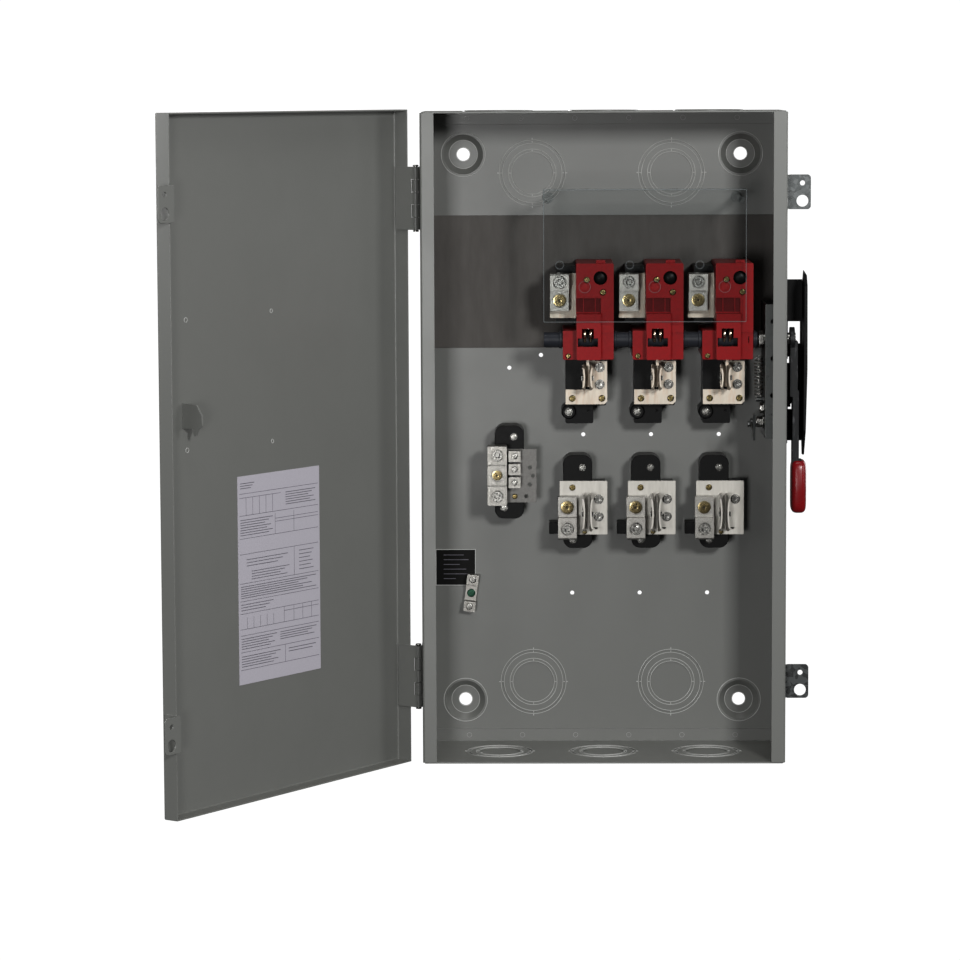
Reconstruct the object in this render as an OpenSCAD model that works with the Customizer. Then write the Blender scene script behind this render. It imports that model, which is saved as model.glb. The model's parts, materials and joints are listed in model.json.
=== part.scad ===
// Fusible safety switch in a sheet-steel wall box, door swung open.
// Origin: centre of the four wall-mounting holes, on the wall.
// +X to the handle side, +Z up, -Y out of the wall.

/* [Enclosure] */
// Width over the side walls
box_w = 391.6; // [330:1:480]
// Height of the side walls
box_h = 700; // [580:1:850]
// Front edge to the outer face of the back wall
box_d = 136.6; // [132:0.2:180]
// Thickness of the enclosure sheet
sheet = 1.6; // [1.2:0.1:2.4]
// Outside radius of the sheet bends
bend_r = 2.6; // [2.5:0.1:4]
// Width of the front returns on the two sides
return_w = 15; // [10:1:22]
// How far the end walls stand past the side walls
end_proud = 1.2; // [0.8:0.1:2]
// Width of the welding flanges on the end walls
end_flange = 15; // [10:1:20]

/* [Wall mounting] */
// Height of the mounting dimples, which stand the back off the wall
dimple_h = 6; // [3:0.5:10]
// Outer radius of a mounting dimple
dimple_r = 24.4; // [18:0.1:28]
// Diameter of the mounting holes
mount_hole_d = 14.4; // [8:0.1:16]
// Side of the box to the mounting holes
mount_edge_x = 43.4; // [36:0.1:60]
// End of the box to the mounting holes
mount_edge_z = 46.5; // [36:0.1:60]

/* [Knockouts] */
// Outer radius of the largest knockout ring
knock_r = 37.8; // [30:0.1:40]
// Step from one knockout ring to the next
knock_step = 6.6; // [5:0.1:8]
// Height of the knockout steps
knock_lift = 1; // [0.6:0.1:1.5]
// Spacing of the three end-wall knockouts
end_knock_pitch = 113.5; // [95:0.5:125]
// Half spacing of the back-wall knockouts
back_knock_x = 76.5; // [60:0.5:90]
// End of the box to the back-wall knockouts
back_knock_edge = 67; // [60:0.5:90]

/* [Door] */
// Angle of the open door from closed
door_open = 124; // [90:1:150]
// Depth of the door flanges, outside
door_flange = 18.4; // [14:0.1:22]
// Thickness of the door sheet
door_sheet = 1.5; // [1.2:0.1:2]
// Gap between the door panel and the box front
door_gap = 1.5; // [1:0.1:3]
// Gap between the door flanges and the box
door_side_gap = 1; // [0.8:0.1:1.6]
// Clearance on the hinge side, beyond the thickness of the door leaf
door_hinge_gap = 1; // [0.9:0.1:1.6]
// Clearance between the door leaf and the box side
leaf_gap = 0.8; // [0.6:0.1:0.8]
// Width of the latch and hasp tabs
tab_w = 24; // [18:0.1:28]
// Height of the latch and hasp tabs
tab_h = 37; // [30:1:44]
// Height of the tabs from the box centre
tab_z = 264.5; // [200:0.5:280]

// Width of the label inside the door
door_label_w = 137; // [80:1:150]
// Length of the label inside the door
door_label_l = 216; // [100:1:230]
// Hinge axis to the near edge of the label
door_label_in = 140; // [100:1:180]
// Lower edge of the label from the box centre
door_label_z0 = -234; // [-260:1:0]

/* [Hinges] */
// Radius of the hinge barrel
barrel_r = 4.3; // [3.8:0.1:5]
// Radius of the hinge pin
pin_r = 2; // [1.5:0.1:2.4]
// Barrel axis behind the front edge
barrel_back = 25; // [23:0.5:30]
// Length of one knuckle
knuckle = 13.5; // [10:0.5:18]
// Height of the hinges from the box centre
hinge_z = 259; // [200:1:270]
// Width of the hinge leaves
leaf_w = 23; // [20:1:28]
// Running clearance of the pin in its knuckles
pin_clear = 0.05; // [0.02:0.01:0.1]

/* [Switch] */
// Spacing of the poles
pole_pitch = 75; // [72:0.5:90]
// Side of the box to the nearest pole
pole_edge = 62.5; // [60:0.5:75]
// Rotor axis from the inside of the back wall
rotor_h = 93; // [90:1:100]
// Height of the rotor axis from the box centre
rotor_z = 105.6; // [100:0.1:112]
// Radius of the rotor shaft
rotor_r = 8.2; // [6:0.1:9.5]
// Reach of the switch blades from the rotor axis
blade_reach = 19.5; // [18:0.5:20.5]
// Thickness of one blade leaf
blade_t = 2.6; // [2:0.1:3.4]
// Thickness of the fixed contact blades
contact_t = 3; // [2:0.1:4.6]
// Blade angle above straight out, switch off
blade_off = 30; // [20:1:40]
// Gap round the rotor and blades
rotor_clear = 0.5; // [0.3:0.1:1]
// Thickness of the tinned plates
plate_t = 3.2; // [2:0.1:4]

/* [Fuse carriers] */
// Width of the long insulating bases
base_w = 32; // [28:0.5:36]
// Length of the long insulating bases
base_l = 103; // [90:1:120]
// Height of the long insulating bases
base_h = 33; // [25:1:40]
// Height of the upper fuse base
upper_base_h = 48; // [40:1:55]
// Slot between the clip leaves, for the fuse blade
clip_gap = 4.8; // [3:0.1:6]
// Height of the clip leaves above their plate
clip_rise = 30; // [24:1:34]

/* [Lugs] */
// Width of the large wire lugs
lug_w = 20.7; // [18:0.1:22]
// Height of the large wire lugs off their plate
lug_h = 25; // [20:0.5:30]
// Radius of the wire hole
wire_r = 8; // [5:0.1:8.6]

/* [Handle] */
// Lever turn from off to on
throw = 150; // [120:1:160]
// Pivot to the tip of the grip
handle_reach = 188; // [160:1:200]
// Length of the grip
grip_l = 57.6; // [45:0.1:70]
// Width of the lever
lever_w = 20; // [14:0.5:24]
// Radius of the handle shaft
shaft_r = 7; // [5:0.1:8]
// Height of the handle bracket
bracket_h = 175; // [150:1:190]

/* [Hidden] */

$fn = 48;
eps = 0.02;
side_x = box_w / 2;
wall_in = side_x - sheet;
end_z = box_h / 2 + end_proud;
back_out = -dimple_h;
back_in = back_out - sheet;
front_y = back_out - box_d;
mount_x = side_x - mount_edge_x;
mount_z = box_h / 2 - mount_edge_z;
pole_x = [for (i = [0:2]) side_x - pole_edge - (2 - i) * pole_pitch];
rotor_y = back_in - rotor_h;

// hinge axis and door edges, with the door closed
hinge_x = -side_x - barrel_r - leaf_gap;
hinge_y = front_y + barrel_back;
door_x0 = -side_x - sheet - door_hinge_gap - door_sheet;
door_x1 = side_x + door_side_gap + door_sheet;
door_z1 = end_z + door_side_gap + door_sheet;
door_y0 = front_y - door_gap - door_sheet;
door_y1 = door_y0 + door_flange;
tab_y = front_y + 20;
tab_hole_x = 17;
tab_hole_r = 6.4;

// moulded pole, in the pole's own X and the height from the back wall
raised_h = rotor_h + 22;
cover_h = rotor_h + 12;
ear_h = rotor_h + rotor_r + 2;
pole_left = -12.5;
pole_right = 27.9;
ear_left = -26.8;
ear_high = rotor_z + 10.2;
swing_half = contact_t / 2 + blade_t + 0.3 + rotor_clear;
pole_low = rotor_z - 21;
pole_high = rotor_z + 82.6;
line_plate_h = 56.8;
fuse_plate_h = upper_base_h;
load_plate_h = base_h;
neutral_x = pole_x[0] - 85.7;
neutral_z = -44.4;
load_base_x = -10.5;
load_base_z = -77.2;

mech_x = wall_in - 20.2;
bracket_x0 = side_x;
bracket_x1 = side_x + 19.7;
lever_x0 = 8;
lever_t = 7.2;

// ---------- shared shapes ----------

// Puts children on the back wall: their Z points out of the wall
module on_back(x, z, h = 0) translate([x, back_in - h, z]) rotate([90, 0, 0]) children();

// Block by its X, Z and height ranges from the back wall
module block(x0, x1, z0, z1, h0, h1)
    translate([x0, back_in - h1, z0]) cube([x1 - x0, h1 - h0, z1 - z0]);

// Block with its four corner edges, seen from the front, rounded
module soft_block(x0, x1, z0, z1, h0, h1, r = 1.5)
    on_back((x0 + x1) / 2, (z0 + z1) / 2, h0)
        linear_extrude(h1 - h0) rounded(x1 - x0, z1 - z0, r);

// Rounded rectangle on the origin
module rounded(w, h, r) {
    square([w - 2 * r, h], center = true);
    square([w, h - 2 * r], center = true);
    for (sx = [-1, 1], sz = [-1, 1]) translate([sx * (w / 2 - r), sz * (h / 2 - r)]) circle(r);
}

// Rod along +X from x0 to x1 at height h and level z
module rod_x(x0, x1, h, z, r) translate([x0, back_in - h, z]) rotate([0, 90, 0]) cylinder(h = x1 - x0, r = r);

// Turns a closed-door shape to the open rest position
module open_door()
    translate([hinge_x, hinge_y, 0]) rotate([0, 0, -door_open]) translate([-hinge_x, -hinge_y, 0]) children();

// Raised part of a pressed concentric knockout, on the outside
module knockout_add() {
    cylinder(h = knock_lift, r = knock_r);
    cylinder(h = knock_lift, r = knock_r - 2 * knock_step);
}
// Matching recess on the inside and the sunken middle ring
module knockout_cut() {
    translate([0, 0, -sheet - eps]) difference() {
        cylinder(h = knock_lift + eps, r = knock_r - sheet);
        translate([0, 0, -eps]) cylinder(h = knock_lift + 3 * eps, r = knock_r - knock_step + sheet);
    }
    difference() {
        cylinder(h = knock_lift + eps, r = knock_r - knock_step);
        translate([0, 0, -eps]) cylinder(h = knock_lift + 3 * eps, r = knock_r - 2 * knock_step);
    }
    translate([0, 0, -sheet - eps]) cylinder(h = knock_lift + eps, r = knock_r - 2 * knock_step - sheet);
}

// Round screw head with a driving slot, standing on a surface
module slotted_head(r, h, turn = 0) difference() {
    cylinder(h = h, r = r);
    translate([0, 0, h - 0.4]) rotate([0, 0, turn]) cube([2 * r + 1, r * 0.3, 1], center = true);
}
// Hexagon bolt head with a washer flange
module hex_head(r, h) {
    cylinder(h = h * 0.25, r = r * 1.2);
    cylinder(h = h, r = r, $fn = 6);
}

// ---------- enclosure ----------

module wrap_profile() difference() {
    translate([0, (back_out + front_y) / 2]) rounded(box_w, box_d, bend_r);
    translate([0, (back_out + front_y) / 2]) rounded(box_w - 2 * sheet, box_d - 2 * sheet, bend_r - sheet);
    translate([-side_x + return_w, front_y - 1]) square([box_w - 2 * return_w, sheet + 2]);
}

module mount_dimple() rotate_extrude() polygon([
    [mount_hole_d / 2, 0], [dimple_r - dimple_h - sheet, 0], [dimple_r - sheet, -dimple_h],
    [dimple_r + sheet, -dimple_h], [dimple_r + sheet, -dimple_h - sheet], [dimple_r - sheet * 1.6, -dimple_h - sheet],
    [dimple_r - dimple_h - sheet * 1.6, -sheet], [mount_hole_d / 2, -sheet]]);

module at_mounts() for (sx = [-1, 1], sz = [-1, 1])
    translate([sx * mount_x, 0, sz * mount_z]) rotate([-90, 0, 0]) children();
module at_back_knockouts() for (sx = [-1, 1], sz = [-1, 1])
    translate([sx * back_knock_x, back_out, sz * (box_h / 2 - back_knock_edge)]) rotate([-90, 0, 0]) children();

module box_wrap() color("#6c6c69") {
    difference() {
        union() {
            translate([0, 0, -box_h / 2]) linear_extrude(box_h) wrap_profile();
            at_back_knockouts() knockout_add();
        }
        at_back_knockouts() knockout_cut();
        at_mounts() translate([0, 0, -dimple_h - sheet - 1]) cylinder(h = sheet + 2, r = dimple_r);
        // spare tapped holes for other switch layouts
        for (p = [[pole_x[0] - 50.7, 82.3], [neutral_x, 68.2], for (x = pole_x) [x - 4, -6],
                  for (x = pole_x) [x - 16.5, -183]])
            on_back(p[0], p[1], -sheet - 1) cylinder(h = sheet + 2, r = 2.3);
        rod_x(wall_in - 1, side_x + 1, rotor_h, rotor_z, shaft_r + 1.2);
    }
    at_mounts() mount_dimple();
}

module end_knockouts() for (i = [-1:1]) translate([i * end_knock_pitch, (back_out + front_y) / 2, end_z]) children();

module end_wall() {
    wall_w = 2 * wall_in - 0.2;
    difference() {
        union() {
            translate([0, (back_out + front_y) / 2, end_z - sheet])
                linear_extrude(sheet) rounded(wall_w, box_d - 2 * sheet - 0.2, bend_r);
            end_knockouts() knockout_add();
        }
        end_knockouts() knockout_cut();
    }
    // flange on the back wall
    translate([-wall_w / 2 + bend_r, back_in - sheet - 0.1, end_z - end_flange]) cube([wall_w - 2 * bend_r, sheet, end_flange]);
    // flanges on the side walls
    for (sx = [-1, 1]) translate([sx * (wall_w / 2 - sheet / 2) - sheet / 2, front_y + return_w, end_z - end_flange])
        cube([sheet, box_d - return_w - 8, end_flange]);
}
module top_wall() color("#6c6c69") end_wall();
module bottom_wall() color("#6c6c69") mirror([0, 0, 1]) end_wall();

// Tab plate with its screw hole and padlock hole, in the XZ plane
module tab_plate(x0, w, y) for (sz = [-1, 1]) translate([x0, y, sz * tab_z]) difference() {
    translate([w / 2, sheet, 0]) rotate([90, 0, 0]) linear_extrude(sheet) rounded(w, tab_h, 4);
    for (hole = [[9.5, 2.8], [-9.5, tab_hole_r]]) translate([side_x + tab_hole_x - x0, -1, hole[0]]) rotate([-90, 0, 0])
        cylinder(h = sheet + 2, r = hole[1]);
}
module hasp_tabs() color("#8a8a88") {
    tab_plate(side_x, 2 + tab_w, tab_y + sheet + 1);
    for (sz = [-1, 1]) translate([side_x, tab_y + sheet + 1, sz * tab_z - tab_h / 2]) cube([sheet, 18, tab_h]);
}
module latch_tabs() color("#666663") open_door() {
    tab_plate(door_x1, tab_w, tab_y);
    for (sz = [-1, 1]) translate([door_x1, door_y0 + 5, sz * tab_z - tab_h / 2]) cube([sheet, tab_y + sheet - door_y0 - 5, tab_h]);
}

module at_hinges() for (sz = [-1, 1]) translate([0, 0, sz * hinge_z]) children();
module barrel(i) translate([hinge_x, hinge_y, (i - 2.5) * knuckle + 0.15]) difference() {
    cylinder(h = knuckle - 0.3, r = barrel_r);
    translate([0, 0, -1]) cylinder(h = knuckle + 2, r = pin_r + pin_clear);
}
module bore_column() translate([hinge_x, hinge_y, -3 * knuckle]) cylinder(h = 6 * knuckle, r = pin_r + pin_clear);
// Clear space round the other leaf's knuckles
module knuckle_space(i) translate([hinge_x, hinge_y, (i - 2.5) * knuckle - 0.3]) cylinder(h = knuckle + 0.6, r = barrel_r + 0.6);

module box_hinge_leaves() color("#666663") at_hinges() {
    for (i = [1, 3]) barrel(i);
    difference() {
        translate([-side_x - sheet, hinge_y, -2.5 * knuckle]) cube([sheet, leaf_w, 5 * knuckle]);
        for (i = [0, 2, 4]) knuckle_space(i);
        bore_column();
    }
}
module door_hinge_leaves() color("#666663") open_door() at_hinges() {
    for (i = [0, 2, 4]) barrel(i);
    difference() {
        translate([hinge_x + barrel_r - sheet, door_y0 + 4, -2.5 * knuckle])
            cube([sheet, hinge_y - door_y0 - 4, 5 * knuckle]);
        for (i = [1, 3]) knuckle_space(i);
        bore_column();
    }
}
module hinge_pins() color("#55585a") at_hinges() translate([hinge_x, hinge_y, -2.5 * knuckle - 2]) {
    cylinder(h = 5 * knuckle + 4, r = pin_r);
    for (z = [0, 5 * knuckle + 2.2]) translate([0, 0, z]) cylinder(h = 1.8, r = pin_r + 1);
}

module pan_form(inset) {
    x0 = door_x0 + inset;
    x1 = door_x1 - inset;
    z1 = door_z1 - inset;
    depth = door_flange + 20;
    y_mid = door_y0 + inset + depth / 2;
    r = bend_r + 0.4 - inset;
    intersection() {
        translate([(x0 + x1) / 2, y_mid, -z1]) linear_extrude(2 * z1) rounded(x1 - x0, depth, r);
        translate([x0, y_mid, 0]) rotate([90, 0, 90]) linear_extrude(x1 - x0) rounded(depth, 2 * z1, r);
    }
}
module door_pan() color("#666663") open_door() difference() {
    pan_form(0);
    pan_form(door_sheet);
    translate([door_x0 - 1, door_y1, -door_z1 - 1]) cube([door_x1 - door_x0 + 2, 40, 2 * door_z1 + 2]);
}
module door_label() color("#c9c9c4") open_door()
    translate([hinge_x + door_label_in, door_y0 + door_sheet, door_label_z0]) cube([door_label_w, 0.3, door_label_l]);

// Hook that the interlock latch catches; x, y and z are those of the closed door
hook_x = mech_x - 14;
hook_y1 = front_y + 24;
hook_z = rotor_z - 65.6;
module interlock_hook() color("#8b8e8c") open_door() {
    y0 = door_y0 + door_sheet;
    translate([hook_x - 8.5, y0, hook_z]) cube([11, 2, 22]);
    translate([hook_x, y0, hook_z]) rotate([90, 0, 90]) linear_extrude(2.5) polygon([
        [0, -1.6], [14.5, -1.6], [14.5, -8.3], [17.5, -8.3], [20, -2.4], [hook_y1 - y0, 2.4],
        [hook_y1 - y0, 12], [18.6, 22.8], [0, 23.7]]);
}

// ---------- inside the box ----------

module insulating_liner() color("#3a3b3a") {
    z0 = rotor_z - 15;
    z1 = rotor_z + 131;
    block(-wall_in + 3, wall_in - 3, z0, z1, 0.1, 1.1);
    block(wall_in - 4, wall_in - 3, z0, z1, 1, 14);
}

shield_h = raised_h + 1;
shield_x0 = pole_x[0] - 48.3;
shield_x1 = pole_x[2] + 20.4;
shield_z0 = rotor_z + 20;
shield_z1 = rotor_z + 162.6;
post_x = [shield_x0 + 6, shield_x1 - 6];
module line_shield() color("#cfd8dc", 0.3) difference() {
    union() {
        soft_block(shield_x0, shield_x1, shield_z0, shield_z1, shield_h, shield_h + 2, 3);
        soft_block(shield_x0, shield_x0 + 2, shield_z0, shield_z1, shield_h - 26, shield_h + 2, 0.5);
        soft_block(shield_x0, shield_x1, shield_z1 - 2, shield_z1, shield_h - 12, shield_h + 2, 0.5);
    }
    // test-probe holes over the line terminals
    for (x = pole_x, p = [[-30, rotor_z + 81.5], [-3.7, rotor_z + 58]])
        on_back(x + p[0], p[1], shield_h - 1) cylinder(h = 4, r = 3.4);
}
module shield_posts() color("#cfd8dc", 0.5) for (x = post_x) {
    on_back(x, shield_z1 - 12, 1.2) cylinder(h = shield_h - 1.3, r = 3.5);
    on_back(x, shield_z1 - 12, 1.2) cylinder(h = 3, r = 6);
}
// Black insulating blocks under the line terminals
module line_terminal_blocks() color("#101010") for (x = pole_x)
    soft_block(x - 34, x + ear_left + 14.1, rotor_z + 16, rotor_z + 78, 1.2, line_plate_h);
module service_label() color("#101010") block(-side_x + 10.7, -side_x + 55.3, -174.6, -133.9, 0.05, 0.4);

// ---------- switch poles ----------

// screw places on the cover, from the pole and the rotor axis
cover_screws = [[-1, 65], [16.3, 51.6]];
ear_screw = [-21, -17.3];

// Space swept by the blades and rotor in a pole
module rotor_space() {
    rod_x(-60, 60, rotor_h, rotor_z, rotor_r + rotor_clear);
    rod_x(-swing_half, swing_half, rotor_h, rotor_z, blade_reach + 2);
}

module pole_base(i) color("#8b1a22") translate([pole_x[i - 1], 0, 0]) difference() {
    union() {
        soft_block(pole_left, pole_right, rotor_z + 8, pole_high, 1.2, rotor_h);
        soft_block(ear_left, pole_right, pole_low, ear_high, 1.2, rotor_h);
    }
    rotor_space();
    // chamber that holds the line contact
    block(pole_left + 3, pole_right - 3, rotor_z + 15, pole_high - 4, line_plate_h, rotor_h + 1);
    block(pole_left - 1, pole_left + 4, rotor_z + 21, rotor_z + 70.4, line_plate_h, line_plate_h + plate_t + 0.3);
    // slot for the load contact
    block(-contact_t / 2 - 0.4, contact_t / 2 + 0.4, pole_low - 1, rotor_z - 4, fuse_plate_h, rotor_h + 1);
}

module arc_cover(i) color("#8b1a22") translate([pole_x[i - 1], 0, 0]) difference() {
    seat = rotor_h + 0.05;
    union() {
        soft_block(pole_left, pole_right, rotor_z + 8, pole_high, seat, cover_h);
        soft_block(ear_left, pole_right, pole_low, ear_high, seat, ear_h);
        soft_block(pole_left + 0.4, 14, pole_low + 0.4, rotor_z + 28.8, seat, raised_h);
        // nub on the top edge
        soft_block(9, 19, pole_high - 6, pole_high + 3.4, seat, seat + 5, 1);
    }
    rotor_space();
    block(pole_left + 3, pole_right - 3, rotor_z + 15, pole_high - 4, rotor_h - 1, rotor_h + 7);
    block(-contact_t / 2 - 0.4, contact_t / 2 + 0.4, pole_low - 1, rotor_z - 4, rotor_h - 1, rotor_h + 11);
    // sunken field below the cover's face
    block(pole_left - 1, 14, rotor_z + 28.8, rotor_z + 46, rotor_h + 9, cover_h + 1);
    // window over the blades
    block(-10.8, 10.8, rotor_z - 6.4, rotor_z + 2.8, rotor_h + 4, raised_h + 1);
    block(-6.4, 6.4, rotor_z + 2.5, rotor_z + 13, rotor_h + 4, raised_h + 1);
    // arc vent, screw pockets and moulding rings
    on_back(13.6, rotor_z + 67, rotor_h - 1) cylinder(h = 20, r = 7.4);
    for (p = cover_screws) on_back(p[0], rotor_z + p[1], cover_h - 1.5) cylinder(h = 3, r = 3.6);
    on_back(ear_screw[0], rotor_z + ear_screw[1], ear_h - 1.5) cylinder(h = 3, r = 3.1);
    for (p = [[-4, 74], [-3, 56]]) on_back(p[0], rotor_z + p[1], cover_h - 0.4) difference() {
        cylinder(h = 1, r = 6);
        translate([0, 0, -1]) cylinder(h = 3, r = 5.3);
    }
}

module line_contacts() color("#d8d3c8") for (x = pole_x) translate([x, 0, 0]) {
    top_h = line_plate_h + plate_t;
    soft_block(-40.7, contact_t / 2, rotor_z + 21.4, rotor_z + 70, line_plate_h + 0.05, top_h, 1);
    block(-contact_t / 2, contact_t / 2, rotor_z + 21.4, rotor_z + 50, top_h, rotor_h + 6);
    block(-contact_t / 2, contact_t / 2, rotor_z + rotor_r + 3.4, rotor_z + 22, rotor_h - 15, rotor_h + 6);
}

// Wire lug: the wire end points to +Z, the fixing bolt sits at the other end
module wire_lug(length, end) difference() {
    translate([-lug_w / 2, length / 2, lug_h / 2]) rotate([0, 90, 0])
        linear_extrude(lug_w) rounded(lug_h, length, 2);
    // step down to the bolted tongue
    translate([-lug_w / 2 - 1, -1, lug_h * 0.62]) cube([lug_w + 2, length - end + 1, lug_h]);
    translate([0, length - end + 2, wire_r + 2.6]) rotate([-90, 0, 0]) cylinder(h = end, r = wire_r);
    translate([0, length - end / 2, lug_h - 3]) cylinder(h = 4, r = 7);
    translate([0, lug_bolt, lug_h * 0.62 - 1.5]) cylinder(h = 4, r = 7.6);
}
line_lug_l = 41;
load_lug_l = 46;
lug_end = 18.5;
load_lug_end = 24;
lug_bolt = 11.6;
line_lug_x = -30.2;
line_lug_z = rotor_z + 29.6;
load_lug_z = load_base_z + 7;
module line_lug(i) color("#b8b8b6") on_back(pole_x[i - 1] + line_lug_x, line_lug_z, line_plate_h + plate_t + 0.05)
    wire_lug(line_lug_l, lug_end);
module load_lug(i) color("#b8b8b6")
    on_back(pole_x[i - 1] - 22, load_lug_z, load_plate_h + plate_t + 0.1) mirror([0, 1, 0]) wire_lug(load_lug_l, load_lug_end);

// ---------- fuse carriers ----------

upper_base_z0 = rotor_z - 95.8;
boss = [-20.2, 13];
module upper_fuse_base(i) color("#101010") translate([pole_x[i - 1], 0, 0]) difference() {
    union() {
        soft_block(-23.9, 20.7, upper_base_z0 + 20.5, pole_low - 0.6, 1.2, upper_base_h, 2);
        soft_block(-23.9, 6.7, upper_base_z0, upper_base_z0 + 24, 1.2, 38, 2);
        on_back(boss[0], upper_base_z0 + boss[1], 1.2) {
            cylinder(h = 38, r = 8.2);
            translate([0, 0, 38]) cylinder(h = 3, r1 = 8.2, r2 = 6.6);
        }
    }
    on_back(1.4, upper_base_z0 + 14, 34) cylinder(h = 10, r = 2.2, $fn = 3);
}
module fuse_plates() color("#d8d3c8") for (x = pole_x) translate([x, 0, 0]) {
    h0 = fuse_plate_h + 0.05;
    h1 = fuse_plate_h + plate_t;
    // L-shaped plate with its lower corner cut off
    on_back(0, rotor_z, h0) linear_extrude(h1 - h0) polygon([[-23.8, -73.8], [18.5, -73.8], [21.7, -70.6], [21.7, -26.5],
        [4.1, -26.5], [4.1, -57.6], [-23.8, -57.6]]);
    block(-contact_t / 2, 8, rotor_z - 27.5, rotor_z - 21.8, h0, h1);
    block(-contact_t / 2, contact_t / 2, rotor_z - 27.5, rotor_z - rotor_r - 3, h1 - eps, h1 + 1);
    block(-contact_t / 2, contact_t / 2, rotor_z - 27.5, rotor_z - rotor_r - 3, h1, rotor_h + 9);
}

// Spring clip for a fuse blade: foot, bridge and two flared leaves
module fuse_clip(z0, z1, h0) {
    inner = clip_gap / 2;
    leaf = 1.8;
    for (side = [0, 1]) mirror([side, 0, 0]) on_back(0, z0, h0) translate([0, z1 - z0, 0]) rotate([90, 0, 0])
        linear_extrude(z1 - z0) polygon([
            [0, 0], [inner + leaf + 1.6, 0], [inner + leaf + 1.6, 12], [inner + leaf, clip_rise - 9],
            [inner + leaf + 2.2, clip_rise], [inner + 2.4, clip_rise], [inner, clip_rise - 8],
            [inner, leaf], [0, leaf]]);
    block(0, 18, z0 + 2, z1 - 2, h0, h0 + leaf);
}
upper_clip_z = [rotor_z - 56.6, rotor_z - 28.4];
lower_clip_z = [load_base_z - 30, load_base_z + 9.9];
module upper_fuse_clip(i) color("#c9c5ba") translate([pole_x[i - 1], 0, 0])
    fuse_clip(upper_clip_z[0], upper_clip_z[1], fuse_plate_h + plate_t + 0.05);
module lower_fuse_clip(i) color("#a9a7a0") translate([pole_x[i - 1], 0, 0])
    fuse_clip(lower_clip_z[0], lower_clip_z[1], load_plate_h + plate_t + 0.05);

// Insulating block with rounded ends
module carrier_base() linear_extrude(base_h) rounded(base_w, base_l, base_w * 0.31);
module lower_fuse_base(i) color("#101010") {
    on_back(pole_x[i - 1] + load_base_x, load_base_z, 0.05) carrier_base();
    translate([pole_x[i - 1], 0, 0]) {
        block(-42, -24, load_base_z - 37, load_base_z - 24, 0.05, 24);
        block(0, 20, load_base_z - 33, load_base_z + 22, 0.05, base_h);
    }
}
module load_plates() color("#b9b7b0") for (x = pole_x) translate([x, 0, 0]) difference() {
    soft_block(-30.4, 22.1, load_base_z - 36.2, load_base_z + 23.2, load_plate_h + 0.1, load_plate_h + plate_t, 1);
    on_back(9.6, load_base_z - 28.1, load_plate_h - 1) cylinder(h = 6, r = 2.2);
}

// ---------- neutral and ground ----------

module neutral_base() color("#101010") on_back(neutral_x, neutral_z, 0.05) carrier_base();
neutral_top = base_h + plate_t + 0.1;
module neutral_plate() color("#b9b7b0") difference() {
    soft_block(neutral_x - 16, neutral_x + 29.9, neutral_z - 33.3, neutral_z + 25.9, base_h + 0.1, neutral_top, 1);
    for (p = [[22.6, 5.5], [26, -3.7], [22.5, -13.4], [18.7, -26.4]])
        on_back(neutral_x + p[0], neutral_z + p[1], base_h - 1) cylinder(h = 6, r = 2.2);
}
module neutral_large_lugs() color("#b8b8b6") difference() {
    soft_block(neutral_x - 23.8, neutral_x - 2.3, neutral_z - 34.3, neutral_z + 30.9, neutral_top + 0.05, neutral_top + 24, 2);
    for (z = [-24, 21]) translate([neutral_x - 26, back_in - neutral_top - 9.6, neutral_z + z]) rotate([0, 90, 0])
        cylinder(h = 30, r = 7);
    for (z = [-12.6, 10]) block(neutral_x - 25, neutral_x, neutral_z + z - 0.5, neutral_z + z + 0.5, neutral_top + 22.5, neutral_top + 30);
    for (z = [-24, -1, 21]) on_back(neutral_x - 13, neutral_z + z, neutral_top + 22) cylinder(h = 4, r = 6.6);
}
small_lug_z = [neutral_z + 19, neutral_z + 4.6, neutral_z - 9.9];
module neutral_small_lugs() color("#b8b8b6") for (z = small_lug_z) difference() {
    soft_block(neutral_x - 0.7, neutral_x + 12.5, z - 6, z + 6, neutral_top + 0.05, neutral_top + 14, 1);
    translate([neutral_x - 2, back_in - neutral_top - 5, z]) rotate([0, 90, 0]) cylinder(h = 20, r = 3);
    on_back(neutral_x + 5.9, z, neutral_top + 12.5) cylinder(h = 3, r = 3.8);
}

ground_x = -side_x + 50.3;
ground_z = -181.7;
ground_tilt = -7;
module on_ground() on_back(ground_x, ground_z, 0.45) rotate([0, 0, ground_tilt]) children();
module ground_lug() color("#a4a6a6") on_ground() difference() {
    union() {
        linear_extrude(4) rounded(13, 41.4, 1.5);
        linear_extrude(9) rounded(12.4, 16.4, 1.2);
        for (s = [-1, 1]) translate([0, s * 15, 0]) linear_extrude(13) rounded(13, 11.4, 1.2);
    }
    for (s = [-1, 1]) {
        translate([-10, s * 15, 6.5]) rotate([0, 90, 0]) cylinder(h = 20, r = 3.4);
        translate([0, s * 15, 12]) cylinder(h = 2, r = 4.2);
    }
}

// ---------- fasteners ----------

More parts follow.
